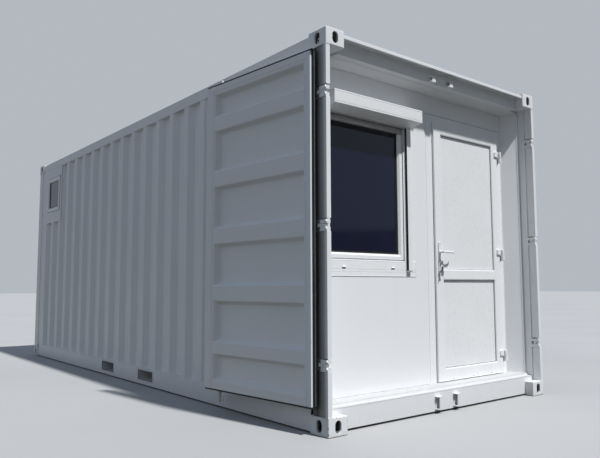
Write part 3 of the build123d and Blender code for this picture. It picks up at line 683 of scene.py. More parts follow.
def castings(node, zs, low):
    """Cast corner blocks: rounded outside, softened slots and foundry skin."""
    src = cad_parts[node].data
    p = Piece(node + "_cast", "frame_paint", ["casting_paint"], stands_for=(node,))
    t = bmesh.new()
    t.from_mesh(src)
    lay = t.faces.layers.float.new("edge")
    bmesh.ops.remove_doubles(t, verts=t.verts, dist=2e-6)
    bmesh.ops.dissolve_limit(t, angle_limit=0.02, verts=t.verts, edges=t.edges)
    for pick, r, seg in ((lambda e: e.calc_length() > 0.112, 6.5, 3), (lambda e: True, 1.6, 2)):
        es = []
        for e in t.edges:
            if len(e.link_faces) != 2 or e.calc_face_angle(0) < 0.6 or not pick(e):
                continue
            if r < 3 and e.calc_length() > 0.100:
                continue
            if not e.is_convex:
                continue
            es.append(e)
        res = bmesh.ops.bevel(t, geom=es, offset=r * 0.001, offset_type="OFFSET", segments=seg, profile=0.5,
                              affect="EDGES", clamp_overlap=True, material=-1)
        for f in res["faces"]:
            f[lay] = 1.0
    p.merge(t, None, True, raw=True)
    return p.done()


castings("bottom_corner_castings", (0, 118), True)
castings("top_corner_castings", (H - 118, H), False)


def post_extras(p):
    for s in (-1, 1):
        X = lambda x: s * x
        # beads where the post meets the castings
        for z in (118, H - 118):
            p.weld((X(-1187), 3, z), (X(-1219), 3, z), 3.0)
            p.weld((X(-1217), 6, z), (X(-1214), 146, z), 3.0)
            p.weld((X(-1183), 6, z), (X(-1183), 66, z), 2.6)
            p.weld((X(-1176.5), 72, z), (X(-1176.5), 128, z), 3.0)
        for z in HINGE_Z:
            for a, b in ((z - 36, z - 9), (z + 13, z + 36)):
                for q in (a, b):
                    p.weld((X(-1176), 69.5, q), (X(-1194), 69.5, q), 2.4)
            # pin heads above and below the lugs
            p.lathe([(-1, 12.5), (5, 12.5), (7, 10.5)], (X(-1200), 43, z + 36.5), (0, 0, 1), 18, "pin_steel")
            p.lathe([(-1, 11), (3.5, 11), (5, 9)], (X(-1200), 43, z - 36.5), (0, 0, -1), 18, "pin_steel")


softened("front_corner_posts", "frame_paint", "post_paint", r=1.5, seg=2, limit=0.6,
         sel=lambda e: e.calc_length() > 0.012, extra=post_extras)
softened("rear_corner_posts", "frame_paint", "frame_paint", r=6, seg=3)
softened("rear_end_rails", "frame_paint", "frame_paint", r=2.2)


def rail_extras(p):
    for s in (-1, 1):
        X = lambda x: s * x
        for y in (Y0 - 450, Y0 + 450):
            # folded collar round each fork pocket
            f = 9.0
            p.ring(y - 152.5 - f, y + 152.5 + f, 50 - f, 152 - 2,
                   [(0, 0), (f, 0), (f, 26), (f - 4, 26), (f - 4, 4), (0, 4)], r=1.0, seg=2, split=True,
                   place=lambda a, b, d: (X(-1212.5 + d), a, b))
            p.weld((X(-1211), y - 168, 46), (X(-1211), y - 168, 150), 2.6)
            p.weld((X(-1211), y + 168, 46), (X(-1211), y + 168, 150), 2.6)
            p.weld((X(-1211), y - 166, 40), (X(-1211), y + 166, 40), 2.6)
        for y in (178, L - 178):
            p.weld((X(-1211), y, 14), (X(-1211), y, 118), 3.2)
        # continuous bead between rail and wall
        p.weld((X(-1210.5), 152, 158.5), (X(-1210.5), L - 140, 158.5), 2.4, step=30)


softened("bottom_side_rails", "frame_paint", "frame_paint", r=1.8, extra=rail_extras)
softened("fork_pockets", "frame_paint", "frame_paint", r=1.6)
softened("floor_cross_members", "frame_paint", "underside", r=1.5)


def top_rail_extras(p):
    for s in (-1, 1):
        X = lambda x: s * x
        for y in (178, L - 178):
            p.weld((X(-1211), y, H - 113), (X(-1211), y, H - 20), 3.2)


softened("top_side_rails", "frame_paint", "frame_paint", r=4.5, seg=3, extra=top_rail_extras)


def keepers(p, z0, z1):
    for x in (-105, 105):
        p.weld((x + 39, 73.5, z0 + 2), (x + 39, 73.5, z1 - 2), 2.2)
        for z in (z0, z1):
            p.weld((x - 18, 73.5, z), (x + 38, 73.5, z), 2.0)


def sill_extras(p):
    keepers(p, 28, 122)
    for x in (-105, 105):
        # narrow slot beside each keeper: a thin near-black plate stands for the shade in the slot (painted shade)
        p.box(x + 43, x + 72, 73.5, 74.4, 73.0, 76.6, "slot_shade_black", 0.3, 1)
    xe = W - 162
    for s in (-1, 1):
        p.weld((s * xe, 74, 17), (s * xe, 74, 118), 3.4)
        p.weld((s * xe, 76, 155), (s * xe, 118, 153), 3.0)


def header_extras(p):
    keepers(p, 2463, 2509)
    xe = W - 162
    for s in (-1, 1):
        p.weld((s * xe, 74, 2474), (s * xe, 74, 2558), 3.4)


softened("front_sill", "frame_paint", "sill_paint", r=1.8, extra=sill_extras)
softened("front_header", "frame_paint", "frame_paint", r=1.8, extra=header_extras)

# painted tread plate over the deck in the entrance recess
p = Piece("recess_tread_plate", "frame_paint", ["sill_paint"])
p.prism("z", [(-1163.5, 113.6), (1163.5, 113.6), (1163.5, 135), (1077, 256), (-1077, 256), (-1163.5, 135)],
        171.8, 174.2, None, r=0.8)
p.done()

# ----------------------------------------------------------------- side walls
PITCH, FLAT, DEEP = 278.0, 72.0, 36.0
SLOPE = (PITCH - 2 * FLAT) / 2


def wall_line(y_end):
    pts = [(-1209.0, 150.0)]
    y = 232.0
    while y + PITCH - FLAT <= L - 140:
        pts += [(-1209.0, y), (-1209.0 + DEEP, y + SLOPE), (-1209.0 + DEEP, y + SLOPE + FLAT),
                (-1209.0, y + 2 * SLOPE + FLAT)]
        y += PITCH
    pts.append((-1209.0, L - 140.0))
    return pts


def cut_line(pts, y1):
    out = []
    for a, b in zip(pts, pts[1:]):
        out.append(a)
        if b[1] >= y1:
            k = (y1 - a[1]) / (b[1] - a[1])
            out.append((a[0] + k * (b[0] - a[0]), y1))
            return out
    out.append(pts[-1])
    return out


def side_wall(node, left):
    s = 1 if left else -1
    p = Piece(node + "_sheet", "panel_paint", ["panel_paint"], to=at if left else mirrored(at), flip=not left,
              stands_for=(node,))
    full = fillet(wall_line(0), 11.0, 3, closed=False)
    if left:
        # the corrugated sheet stops at the flat window plate in the rear upper corner
        front = cut_line(full, 5150.0)
        k = len(front)
        rear = [front[-1]] + [q for q in full if q[1] > 5150.0]
        p.sheet("z", front, 158.0, 2478.0, -2.5, steps=6)
        p.sheet("z", rear, 158.0, 1765.0, -2.5, steps=4)
        # plate with its turned-in returns
        y0, y1, z0, z1 = 5222.0, 5678.0, 1925.0, 2340.0
        xs = (-1210.0, -1206.0)
        for a, b, c, d in ((5150, y0, 1765, 2478), (y1, 5918, 1765, 2478), (y0, y1, 1765, z0), (y0, y1, z1, 2478)):
            if b - a < 1:
                continue
        v, f = [], []
        loops = [(5150, 5918, 1765, 2478), (y0, y1, z0, z1)]
        for x in xs:
            for a, b, c, d in loops:
                v += [(x, a, c), (x, b, c), (x, b, d), (x, a, d)]
        for i in range(4):
            j = (i + 1) % 4
            f.append((i, j, 4 + j, 4 + i))
            f.append((8 + i, 8 + j, 12 + j, 12 + i))
            f.append((i, j, 8 + j, 8 + i))
            f.append((4 + i, 4 + j, 12 + j, 12 + i))
        p.solid(v, f, None, 1.2, 2)
        p.box(-1206.2, -1170, 5150, 5918, 1765, 1769, None, 1.0)
        p.box(-1206.2, -1170, 5150, 5154, 1769, 2478, None, 1.0)
        # seam weld round the plate
        p.weld((-1209.6, 5150, 1766), (-1209.6, 5150, 2476), 2.2, step=14)
        p.weld((-1209.6, 5152, 1765), (-1209.6, 5916, 1765), 2.2, step=14)
    else:
        p.sheet("z", full, 158.0, 2478.0, -2.5, steps=6)
    # bead under the top rail following the corrugation, and along the posts
    line = cut_line(full, 5150.0) if left else full
    pts = []
    for a, b in zip(line, line[1:]):
        n = max(1, int((Vector(b) - Vector(a)).length / 16))
        pts += [(a[0] + (b[0] - a[0]) * i / n - 0.4, a[1] + (b[1] - a[1]) * i / n, 2477.6) for i in range(n)]
    p.tube(pts, 2.6, None, 6, wob=0.15)
    p.weld((-1209.5, 150.5, 160), (-1209.5, 150.5, 2476), 2.6, step=16)
    p.weld((-1209.5, L - 140.5, 160), (-1209.5, L - 140.5, 2476), 2.6, step=16)
    return p.done()


side_wall("left_side_panel", True)
side_wall("right_side_panel", False)

# rear end panel
p = Piece("rear_end_panel_sheet", "panel_paint", ["panel_paint"], stands_for=("rear_end_panel",))
yy = L - 14
rl = [(-1080.0, yy)]
px = -1040.0
while px + 250 <= 1080:
    rl += [(px, yy), (px + 60, yy - 45), (px + 130, yy - 45), (px + 190, yy)]
    px += 252
rl.append((1080.0, yy))
p.sheet("z", fillet(rl, 11.0, 3, closed=False), 158.0, H - 74, -2.5, steps=4)
for x in (-1079, 1079):
    p.weld((x, L - 13.5, 160), (x, L - 13.5, H - 76), 3.0, step=16)
p.weld((-1056, L - 13.5, 159), (1056, L - 13.5, 159), 2.6, step=24)
p.weld((-1056, L - 13.5, H - 75), (1056, L - 13.5, H - 75), 2.6, step=24)
p.done()

# roof: sheet with pressed-up corrugations whose ends slope down short of the rails
p = Piece("roof_panel_sheet", "panel_paint", ["roof_paint"], stands_for=("roof_panel",))
t = bmesh.new()
xs = [-1151.0, -1096.0, -1074.0, -700.0, -350.0, 0.0, 350.0, 700.0, 1074.0, 1096.0, 1151.0]
xf = [0, 0, 1, 1, 1, 1, 1, 1, 1, 0, 0]
ys = [(138.0, 0)]
y = 260.0
while y + 209 < L - 100:
    ys += [(y, 0), (y + 14, 1), (y + 52.5, 1.15), (y + 91, 1), (y + 105, 1), (y + 119, 0)]
    y += 209
ys.append((L - 64.0, 0))
grid = [[t.verts.new((x, yv, 2561 + min(f, h) * 17 + (0.9 if f and h > 1 else 0))) for x, f in zip(xs, xf)]
        for yv, h in ys]
for ra, rb in zip(grid, grid[1:]):
    for i in range(len(xs) - 1):
        t.faces.new((ra[i], ra[i + 1], rb[i + 1], rb[i]))
bmesh.ops.bevel(t, geom=[e for e in t.edges if len(e.link_faces) == 2 and e.calc_face_angle(0) > 0.3],
                offset=4.0, offset_type="OFFSET", segments=2, profile=0.5, affect="EDGES", clamp_overlap=True,
                material=-1)
bmesh.ops.recalc_face_normals(t, faces=t.faces)
if sum(f.normal.z * f.calc_area() for f in t.faces) < 0:
    bmesh.ops.reverse_faces(t, faces=t.faces)
p.merge(t)
for s in (-1, 1):
    p.weld((s * 1151, 182, 2562), (s * 1151, L - 182, 2562), 3.2, step=22)
ob = p.done()
so = ob.modifiers.new("thick", "SOLIDIFY")
so.thickness = 0.0022
so.offset = -1
ob.modifiers.move(1, 0)

# inside: linings, ceiling and deck keep their CAD shape with their own finish
for node, mat in (("wall_linings", "lining_board"), ("ceiling_lining", "lining_board"),
                  ("floor", "floor_board")):
    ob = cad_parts[node]
    ob.data.materials.clear()
    ob.data.materials.append(MATS[mat])


# ---------------------------------------------------------------- cargo doors
U0, U1, VO, VI, Z0, Z1 = 66.0, 1160.0, 12.0, 62.0, 175.0, 2445.0
IU0, IU1 = U0 + 46, U1 - 52
RECESSES = ((238, 428), (515, 814), (928, 1236), (1351, 1666), (1783, 2094), (2204, 2375))
ROD_U, ROD_V = 1095.0, -13.0


def cargo_door(side):
    left = side == "left"
    to = at_leaf if left else mirrored(at_leaf)
    body = side + "_door"

    # welded frame of square tube, with the hinge blades and rod brackets on its outer face
    p = Piece(side + "_cargo_door_frame_body", "door_paint", ["door_paint"], body, to, not left,
              (side + "_cargo_door_frame",))
    p.box(U0, IU0, VO, VI, Z0, Z1, r=3.0, seg=3)
    p.box(IU1, U1, VO, VI, Z0, Z1, r=3.0, seg=3)
    # steel flange down the free edge, which covers the seal
    p.prism("z", [(U1 - 1, VI - 0.4), (U1 + 29, VI - 0.4), (U1 + 33, VI - 3.4), (U1 + 33, VI - 6), (U1 + 27, VI - 4.6),
                  (U1 - 1, VI - 4.6)], Z0 + 1, Z1 - 1, None, r=1.0)
    p.box(IU0 - 0.5, IU1 + 0.5, VO + 0.6, VI - 0.6, Z0 + 0.3, Z0 + 42, r=3.0, seg=3)
    p.box(IU0 - 0.5, IU1 + 0.5, VO + 0.6, VI - 0.6, Z1 - 42, Z1 - 0.3, r=3.0, seg=3)
    for u in (IU0, IU1):
        for z in (Z0 + 21, Z1 - 21):
            p.weld((u, VI - 0.4, z - 19), (u, VI - 0.4, z + 19), 2.0)
            p.weld((u, VO + 0.4, z - 19), (u, VO + 0.4, z + 19), 2.0)
    for z in HINGE_Z:
        # forged blade with its eye round the pin, riveted to the tube
        m = bmesh.new()
        seg = 24
        outer = [(20 * math.cos(2 * math.pi * k / seg), 20 * math.sin(2 * math.pi * k / seg)) for k in range(seg)]
        inner = [(8.6 * math.cos(2 * math.pi * k / seg), 8.6 * math.sin(2 * math.pi * k / seg)) for k in range(seg)]
        vo = [[m.verts.new((a, b, zz)) for a, b in outer] for zz in (z - 8, z + 12)]
        vi = [[m.verts.new((a, b, zz)) for a, b in inner] for zz in (z - 8, z + 12)]
        for k in range(seg):
            j = (k + 1) % seg
            m.faces.new((vo[0][k], vo[0][j], vo[1][j], vo[1][k]))
            m.faces.new((vi[0][j], vi[0][k], vi[1][k], vi[1][j]))
            m.faces.new((vo[1][k], vo[1][j], vi[1][j], vi[1][k]))
            m.faces.new((vo[0][j], vo[0][k], vi[0][k], vi[0][j]))
        bmesh.ops.recalc_face_normals(m, faces=m.faces)
        p.merge(m)
        p.prism("z", [(9, 0.3), (206, 0.3), (210, 4), (210, 11.7), (58, 11.7), (54, 12.6), (43, 20.8), (5, 20.8)],
                z - 7.7, z + 11.7, r=1.2)
        for u in (82, 128, 176):
            p.bolt((u, 0.3, z + 2), (0, -1, 0), 17, 5.5, False, None, True)
        p.weld((72, 11, z - 8), (206, 11, z - 8), 2.0)
        p.weld((72, 11, z + 12), (206, 11, z + 12), 2.0)
    for z in (330.0, 760.0, 1470.0, 2290.0):
        # rod bracket: base plate, saddle cap and four bolts
        p.box(ROD_U - 34, ROD_U + 34, 3, VO - 0.2, z - 26, z + 26, r=2.0)
        prof = [(ROD_U - 33, 3.2), (ROD_U - 33, -1), (ROD_U - 21, -1), (ROD_U - 20, -13)]
        prof += [(ROD_U + 20 * math.cos(a), -13 + 19.5 * math.sin(a)) for a in
                 [math.pi + math.pi * k / 12 for k in range(1, 12)]]
        prof += [(ROD_U + 20, -13), (ROD_U + 21, -1), (ROD_U + 33, -1), (ROD_U + 33, 3.2), (ROD_U + 17, 3.2),
                 (ROD_U + 15.5, -13)]
        prof += [(ROD_U + 15.5 * math.cos(a), -13 + 15.5 * math.sin(a)) for a in
                 [-math.pi * k / 12 for k in range(1, 12)]]
        prof += [(ROD_U - 15.5, -13), (ROD_U - 17, 3.2)]
        p.prism("z", prof, z - 22, z + 22, r=0)
        for du in (-27, 27):
            for dz in (-15, 15):
                p.bolt((ROD_U + du, -1, z + dz), (0, -1, 0), 10, 6, False, "zinc")
    # handle catch plate low on the leaf
    p.box(ROD_U - 92, ROD_U - 40, 6, VO - 0.2, 800, 872, r=2.0)
    p.tube([(ROD_U - 66, 7, 856), (ROD_U - 66, -6, 856), (ROD_U - 66, -12, 848),
            (ROD_U - 66, -12, 826), (ROD_U - 66, -6, 818), (ROD_U - 66, 7, 818)], 4.5, None, 10)
    p.done()

    # pressed sheet: flat bands inboard, mitred recesses outboard
    q = Piece(side + "_cargo_door_panel_body", "door_paint", ["door_paint"], body, to, not left,
              (side + "_cargo_door_panel",))
    vin, vout = VI - 1.0, VO + 6.0
    t = bmesh.new()
    lay = t.faces.layers.float.new("edge")
    ua, ub, run = 127.0, 1085.0, 24.0
    us = [IU0, ua, ub, IU1]
    zz = [Z0 + 42]
    for a, b in RECESSES:
        zz += [a, b]
    zz.append(Z1 - 42)
    vt = {}

    def vert(u, z, v):
        key = (round(u, 2), round(z, 2), round(v, 2))
        if key not in vt:
            vt[key] = t.verts.new((u, v, z))
        return vt[key]
    for a, b in zip(zz, zz[1:]):
        for c, d in zip(us, us[1:]):
            if (a, b) in RECESSES and (c, d) == (ua, ub):
                o = [vert(c, a, vin), vert(d, a, vin), vert(d, b, vin), vert(c, b, vin)]
                i = [vert(c + run, a + run, vout), vert(d - run, a + run, vout), vert(d - run, b - run, vout),
                     vert(c + run, b - run, vout)]
                for k in range(4):
                    j = (k + 1) % 4
                    t.faces.new((o[k], o[j], i[j], i[k]))
                t.faces.new(i)
            else:
                t.faces.new((vert(c, a, vin), vert(d, a, vin), vert(d, b, vin), vert(c, b, vin)))
    bmesh.ops.remove_doubles(t, verts=t.verts, dist=0.01)
    loose = [v for v in t.verts if not v.link_faces]
    bmesh.ops.delete(t, geom=loose, context="VERTS")
    bmesh.ops.recalc_face_normals(t, faces=t.faces)
    if sum(f.normal.y * f.calc_area() for f in t.faces) < 0:
        bmesh.ops.reverse_faces(t, faces=t.faces)
    es = [e for e in t.edges if len(e.link_faces) == 2 and e.calc_face_angle(0) > 0.2]
    res = bmesh.ops.bevel(t, geom=es, offset=7.0, offset_type="OFFSET", segments=4, profile=0.5, affect="EDGES",
                          clamp_overlap=True, material=-1)
    bmesh.ops.triangulate(t, faces=[f for f in t.faces if len(f.verts) > 4])
    back = {}
    front = list(t.faces)
    t.verts.ensure_lookup_table()
    for v in list(t.verts):
        nrm = v.normal.copy()
        back[v] = t.verts.new(v.co - nrm * 3.0)
    rim = [e for e in t.edges if len(e.link_faces) == 1]
    for f in front:
        t.faces.new([back[v] for v in reversed(f.verts)])
    for e in rim:
        a, b = e.verts
        t.faces.new((a, b, back[b], back[a]))
    bmesh.ops.recalc_face_normals(t, faces=t.faces)
    q.merge(t)
    # bead between sheet and tube all round, inner face
    for u in (IU0, IU1):
        q.weld((u, VI - 0.5, Z0 + 44), (u, VI - 0.5, Z1 - 44), 1.8, step=22)
    for z in (Z0 + 42, Z1 - 42):
        q.weld((IU0 + 2, VI - 0.5, z), (IU1 - 2, VI - 0.5, z), 1.8, step=22)
    q.done()

    # door seal: a ribbed body with two soft lips, clipped round the leaf's edges
    g = Piece(side + "_cargo_door_gasket_body", "black_rubber", ["black_rubber"], body, to, not left,
              (side + "_cargo_door_gasket",))
    gz0, gz1 = Z0 - 10, Z1 + 10
    # hinge edge: lips stand off the tube towards the post
    hp = [(66.2, 20.2), (56.0, 20.2), (50.4, 20.3), (47.2, 21.8), (47.6, 25.4), (52.4, 29.0), (54.6, 32.0),
          (54.6, 38.4), (52.6, 40.8), (48.4, 42.6), (47.2, 45.2), (48.8, 47.9), (53.0, 47.4), (57.0, 47.8), (66.2, 47.8)]
    g.prism("z", hp, gz0, gz1, None, 0.5, 1)
    # a grey strip along the seal stands for light caught by its fin: painted highlight
    g.box(52.6, 55.4, 32.6, 37.8, gz0 + 16, gz1 - 16, "grey_rubber_and_painted_light", 0.6, 1)
    fp = [(1159.8, 38.4), (1166.0, 38.4), (1172.0, 36.8), (1177.6, 40.0), (1176.4, 43.6), (1170.4, 44.6),
          (1170.4, 48.4), (1176.0, 50.0), (1178.0, 53.6), (1172.0, 54.8), (1159.8, 54.6)]
    g.prism("z", fp, gz0, gz1, None, 0.5, 1)
    for zo, zi in ((gz0, Z0), (gz1, Z1)):
        h = zi - zo
        g.prism("x", [(40.0, zi), (41.0, zo + 0.35 * h), (44.0, zo), (47.4, zo + 0.3 * h), (49.6, zo + 0.5 * h),
                      (53.0, zo + 0.5 * h), (55.6, zo + 0.2 * h), (59.0, zo), (61.6, zo + 0.2 * h), (62.0, zi)],
                47.4, 1177.6, None, 0.4, 1)
    z = gz0 + 90
    while z < gz1 - 60:
        g.bolt((55.4, 35.2, z), (-1, 0, 0), 5.0, 1.6, False, "zinc", True)
        z += 160
    g.done()

    # lock rod: tube with collars, cams and its handle
    k = Piece(side + "_lock_rod_body_tube", "door_paint", ["door_paint"], side + "_lock_rod_body", to, not left,
              (side + "_lock_rod",))
    k.lathe([(0, 8), (1, 9), (50, 9), (58, 12.5), (60, 14), (2388, 14), (2390, 12.5), (2398, 9),
             (2438.5, 9), (2439.5, 8)], (ROD_U, ROD_V, 70), (0, 0, 1), 24)
    way = -1 if left else 1
    for z in (330.0, 1470.0, 2290.0):
        for dz in (-30, 26):
            k.lathe([(0, 14.4), (0.8, 15.2), (3.2, 15.2), (4, 14.4)], (ROD_U, ROD_V, z + dz), (0, 0, 1), 24)
    for z0, z1 in ((78.0, 112.0), (2474.0, 2498.0)):
        k.prism("z", [(ROD_U, ROD_V - 10), (ROD_U + way * 31, ROD_V - 10), (ROD_U + way * 36, ROD_V - 7),
                      (ROD_U + way * 35, ROD_V - 3), (ROD_U, ROD_V - 3)], z0, z1, r=1.5)
        k.lathe([(0, 9.6), (1.0, 10.4), (z1 - z0 - 1.0, 10.4), (z1 - z0, 9.6)], (ROD_U, ROD_V, z0), (0, 0, 1), 20)
    k.prism("x", [(ROD_V - 30, 1184), (ROD_V - 26, 1180), (ROD_V, 1180), (ROD_V, 1230), (ROD_V - 26, 1230),
             (ROD_V - 30, 1226)], ROD_U - 14, ROD_U + 14, r=2.0)
    k.prism("y", fillet([(ROD_U - 12, 1228), (ROD_U - 12, 850), (ROD_U - 9, 826), (ROD_U, 820), (ROD_U + 9, 826),
                         (ROD_U + 12, 850), (ROD_U + 12, 1228)], 4, 2), ROD_V - 30, ROD_V - 22, r=2.2, seg=3)
    k.done()


cargo_door("left")
cargo_door("right")


# ------------------------------------------------------------ set-back front
def frame2(p, outer, inner, prof, mat=None, r=0.7, seg=1, place=None, open_low=False, gap=0.2, mitre=True):
    """Four mitred bars between two rectangles (a0, a1, b0, b1).

    prof is a closed outline of (k, off, depth): k runs from the outer to the inner
    rectangle and off is a distance inward, in millimetres.
    """
    place = place or (lambda a, b, d: (a, d, b))
    o = [(outer[0], outer[2]), (outer[1], outer[2]), (outer[1], outer[3]), (outer[0], outer[3])]
    i = [(inner[0], inner[2]), (inner[1], inner[2]), (inner[1], inner[3]), (inner[0], inner[3])]
    sg = [(1, 1), (-1, 1), (-1, -1), (1, -1)]
    al = [(1, 0), (0, 1), (-1, 0), (0, -1)]
    n = len(prof)
    for k in range(4):
        if open_low and k == 0:
            continue
        v = []
        for q, s in ((k, 1), ((k + 1) % 4, -1)):
            low = open_low and q in (0, 1)
            for f, off, dep in prof:
                a = o[q][0] + f * (i[q][0] - o[q][0]) + off * sg[q][0]
                b = o[q][1] + f * (i[q][1] - o[q][1]) + off * sg[q][1]
                if low:
                    b = o[q][1]
                else:
                    a += al[k][0] * s * gap
                    b += al[k][1] * s * gap
                v.append(place(a, b, dep))
        fs = [tuple(range(n))[::-1], tuple(range(n, 2 * n))]
        fs += [(j, (j + 1) % n, n + (j + 1) % n, n + j) for j in range(n)]
        p.solid(v, fs, mat, r, seg, limit=0.35)


def wall_extras(p):
    # small countersunk caps down the free edge of the board
    z = 330
    while z < 2380:
        for x in (14.0,):
            p.lathe([(-0.4, 4.6), (0.5, 4.2), (0.9, 2.6), (1.0, 0)], (x, 245, z), (0, -1, 0), 12)
        z += 285
    # corner bead where the wall meets the splayed lining
    p.tube([(-1080, 246.5, 175), (-1080, 246.5, 2436)], 3.0, None, 8)
    # sealant line along the foot of the wall
    p.weld((-1078, 246, 173.2), (26, 246, 173.2), 2.6, "grey_rubber_and_painted_light", 24)


softened("front_wall_window_side", "front_wall_skin", "front_wall_skin", r=0.9, limit=0.5, extra=wall_extras)
softened("front_wall_over_door", "front_wall_skin", "front_wall_skin", r=0.5)


def strip_extras(p):
    p.tube([(1079, 254.5, 175), (1079, 254.5, 2437)], 3.0, None, 8)
    p.weld((1066, 254.5, 173.2), (1078, 254.5, 173.2), 2.6, "grey_rubber_and_painted_light", 24)


softened("front_wall_right_strip", "front_wall_skin", "front_wall_skin", r=0.5, extra=strip_extras)


def splay_extras(p):
    for s in (-1, 1):
        # edge trim of the splayed lining against the post
        p.prism("z", [(s * 1165.5, 131.6), (s * 1158.5, 139.8), (s * 1156.6, 138.2), (s * 1163.6, 130.0)],
                173, 2440, None, 0.5, 1)
        # filler strip between the trim and the post
        p.prism("z", [(s * 1163.4, 130.6), (s * 1176.3, 130.6), (s * 1176.3, 133.0), (s * 1163.4, 133.0)],
                173, 2440, None, 0.4, 1)
        for z in (300, 700, 1100, 1500, 1900, 2300):
            k = 0.12
            x, y = 1165 - 88 * k, 132 + 122.5 * k
            p.lathe([(-0.4, 4.4), (0.6, 4.0), (0.9, 2.2), (1.0, 0)], (s * x, y, z), (-s * 0.81, -0.584, 0), 12)


softened("recess_side_linings", "front_wall_skin", "front_wall_skin", r=0.5, extra=splay_extras)


def ceiling_extras(p):
    # cornice bead along the wall
    p.tube([(-1074, 252.5, 2437.5), (1074, 252.5, 2437.5)], 3.2, None, 8)


softened("recess_ceiling", "front_wall_skin", "front_wall_skin", r=0.6, extra=ceiling_extras)

# ------------------------------------------------------------- entrance door
DL, DR, DB, DT = 125.0, 995.0, 177.5, 2228.0
p = Piece("entrance_door_frame_pvc", "white_pvc", ["white_pvc"], stands_for=("entrance_door_frame",))
frame2(p, (50, 1064, 172, 2290), (141, 979, 172, 2212),
       [(0, 0, 254.8), (0, 0, 254.0), (0, 1.0, 253.0), (1, -0.8, 253.0), (1, 0, 254.0), (1, 0, 300),
        (1, 26, 300), (1, 26, 322), (1, 24, 324.8), (0, 21.2, 324.8), (0, 21.2, 254.8)],
       r=0.5, open_low=True)
# shadow joint between the frame and the wall boards: thin grey strips stand for the dark of the gap (painted shade)
p.box(48, 1066.5, 254.5, 255.0, 2289.9, 2293.4, "grey_rubber_and_painted_light", 0.2, 1)
p.box(1063.9, 1066.2, 254.5, 255.0, 174, 2289.7, "grey_rubber_and_painted_light", 0.2, 1)
# bulb seal on the stop
frame2(p, (141, 979, 172, 2212), (167, 953, 172, 2186),
       [(0, 6, 300.2), (0, 7, 296.5), (0, 10, 295.0), (0, 13, 296.5), (0, 14, 300.2)], "black_rubber", r=0.4,
       open_low=True)
# threshold: ribbed aluminium section
pr = [(255.2, 172.2), (255.2, 177.5)]
y = 258.0
while y < 312:
    pr += [(y, 178.9), (y + 3, 178.9), (y + 3.6, 177.9), (y + 5.4, 177.9)]
    y += 6
pr += [(316.8, 178.9), (316.8, 172.2)]
p.prism("x", pr, 141.2, 978.8, "alu_frame", r=0)
p.done()

p = Piece("entrance_door_leaf_pvc", "white_pvc", ["white_pvc"], "entrance_door_body",
          stands_for=("entrance_door_leaf",))
PL, PR = 216.0, 907.0
frame2(p, (DL, DR, DB, DT), (PL, PR, 278, 2136),
       [(0, 0, 248.8), (0, 0, 235.4), (0, 0.7, 233.8), (0, 2.4, 233.0), (1, -9, 233.0), (1, -8.4, 233.8),
        (1, -7.6, 233.8), (1, -1.6, 236.0), (1, 0, 238.0), (1, 0, 291), (1, -3, 293.8), (0, 25, 293.8),
        (0, 22.4, 291), (0, 22.4, 248.8)], r=0.45)
mp = [(248.8, 966.2), (238.0, 966.2), (236.0, 967.6), (233.8, 973.6), (233.8, 974.4), (233.0, 975.0),
      (233.0, 1043.0), (233.8, 1043.6), (233.8, 1044.4), (236.0, 1050.4), (238.0, 1051.8), (291, 1051.8),
      (293.8, 1049), (293.8, 969), (291, 966.2)]
p.prism("x", mp, PL + 0.1, PR - 0.1, None, r=0.4, seg=1)
# weather bar at the foot of the leaf
p.prism("x", [(233.2, 186), (228.5, 183), (228.5, 181.2), (233.2, 181.2)], DL + 18, DR - 18, None, r=0.5)
# slots in the weather bar: thin near-black plates that stand for their shade (painted shade)
for x in (300, 556, 812):
    p.box(x, x + 22, 232.4, 233.4, 188.5, 191.5, "slot_shade_black", 0.4, 1)
p.done()

p = Piece("entrance_door_panels_infill", "white_pvc", ["infill_panel"], "entrance_door_body",
          stands_for=("entrance_door_panels",))
for z0, z1 in ((278.0, 966.0), (1052.0, 2136.0)):
    p.box(PL + 0.3, PR - 0.3, 249.2, 277, z0 + 0.3, z1 - 0.3, r=0.6)
    frame2(p, (PL + 0.2, PR - 0.2, z0 + 0.2, z1 - 0.2), (PL + 4, PR - 4, z0 + 4, z1 - 4),
           [(0, 0, 249.6), (0, 0, 247.0), (0, 1.6, 246.6), (0, 3.4, 248.6), (0, 3.6, 249.6)], "grey_rubber_and_painted_light",
           r=0.3)
p.done()

HX, LZ, KZ = 162.0, 1186.0, 1094.0
p = Piece("door_handle_plate_set", "handle_metal", ["handle_metal"], "entrance_door_body",
          stands_for=("door_handle_plate",))
out = fillet([(HX - 14, 1023), (HX + 14, 1023), (HX + 14, 1268), (HX - 14, 1268)], 13.0, 6)
p.prism("y", out, 223.6, 233.1, None, r=3.2, seg=3, limit=0.9)
p.lathe([(-0.5, 13.0), (1.6, 13.0), (3.0, 11.6)], (HX, 223.6, LZ), (0, -1, 0), 24)
# lock cylinder in its pear-shaped recess
p.prism("y", fillet([(HX - 8.5, KZ - 22), (HX + 8.5, KZ - 22), (HX + 8.5, KZ + 9), (HX - 8.5, KZ + 9)], 8.0, 5),
        221.6, 224.0, "alu_frame", r=0.8, limit=0.9)
p.lathe([(-1, 8.5), (4.6, 8.5), (5.4, 7.8), (5.4, 6.4), (4.8, 6.2)], (HX, 222.4, KZ), (0, -1, 0), 24, "brass")
for z in (1036, 1252):
    p.lathe([(-0.5, 4.6), (0.8, 4.4), (1.4, 3.0), (0.9, 0)], (HX, 223.6, z), (0, -1, 0), 14, "zinc")
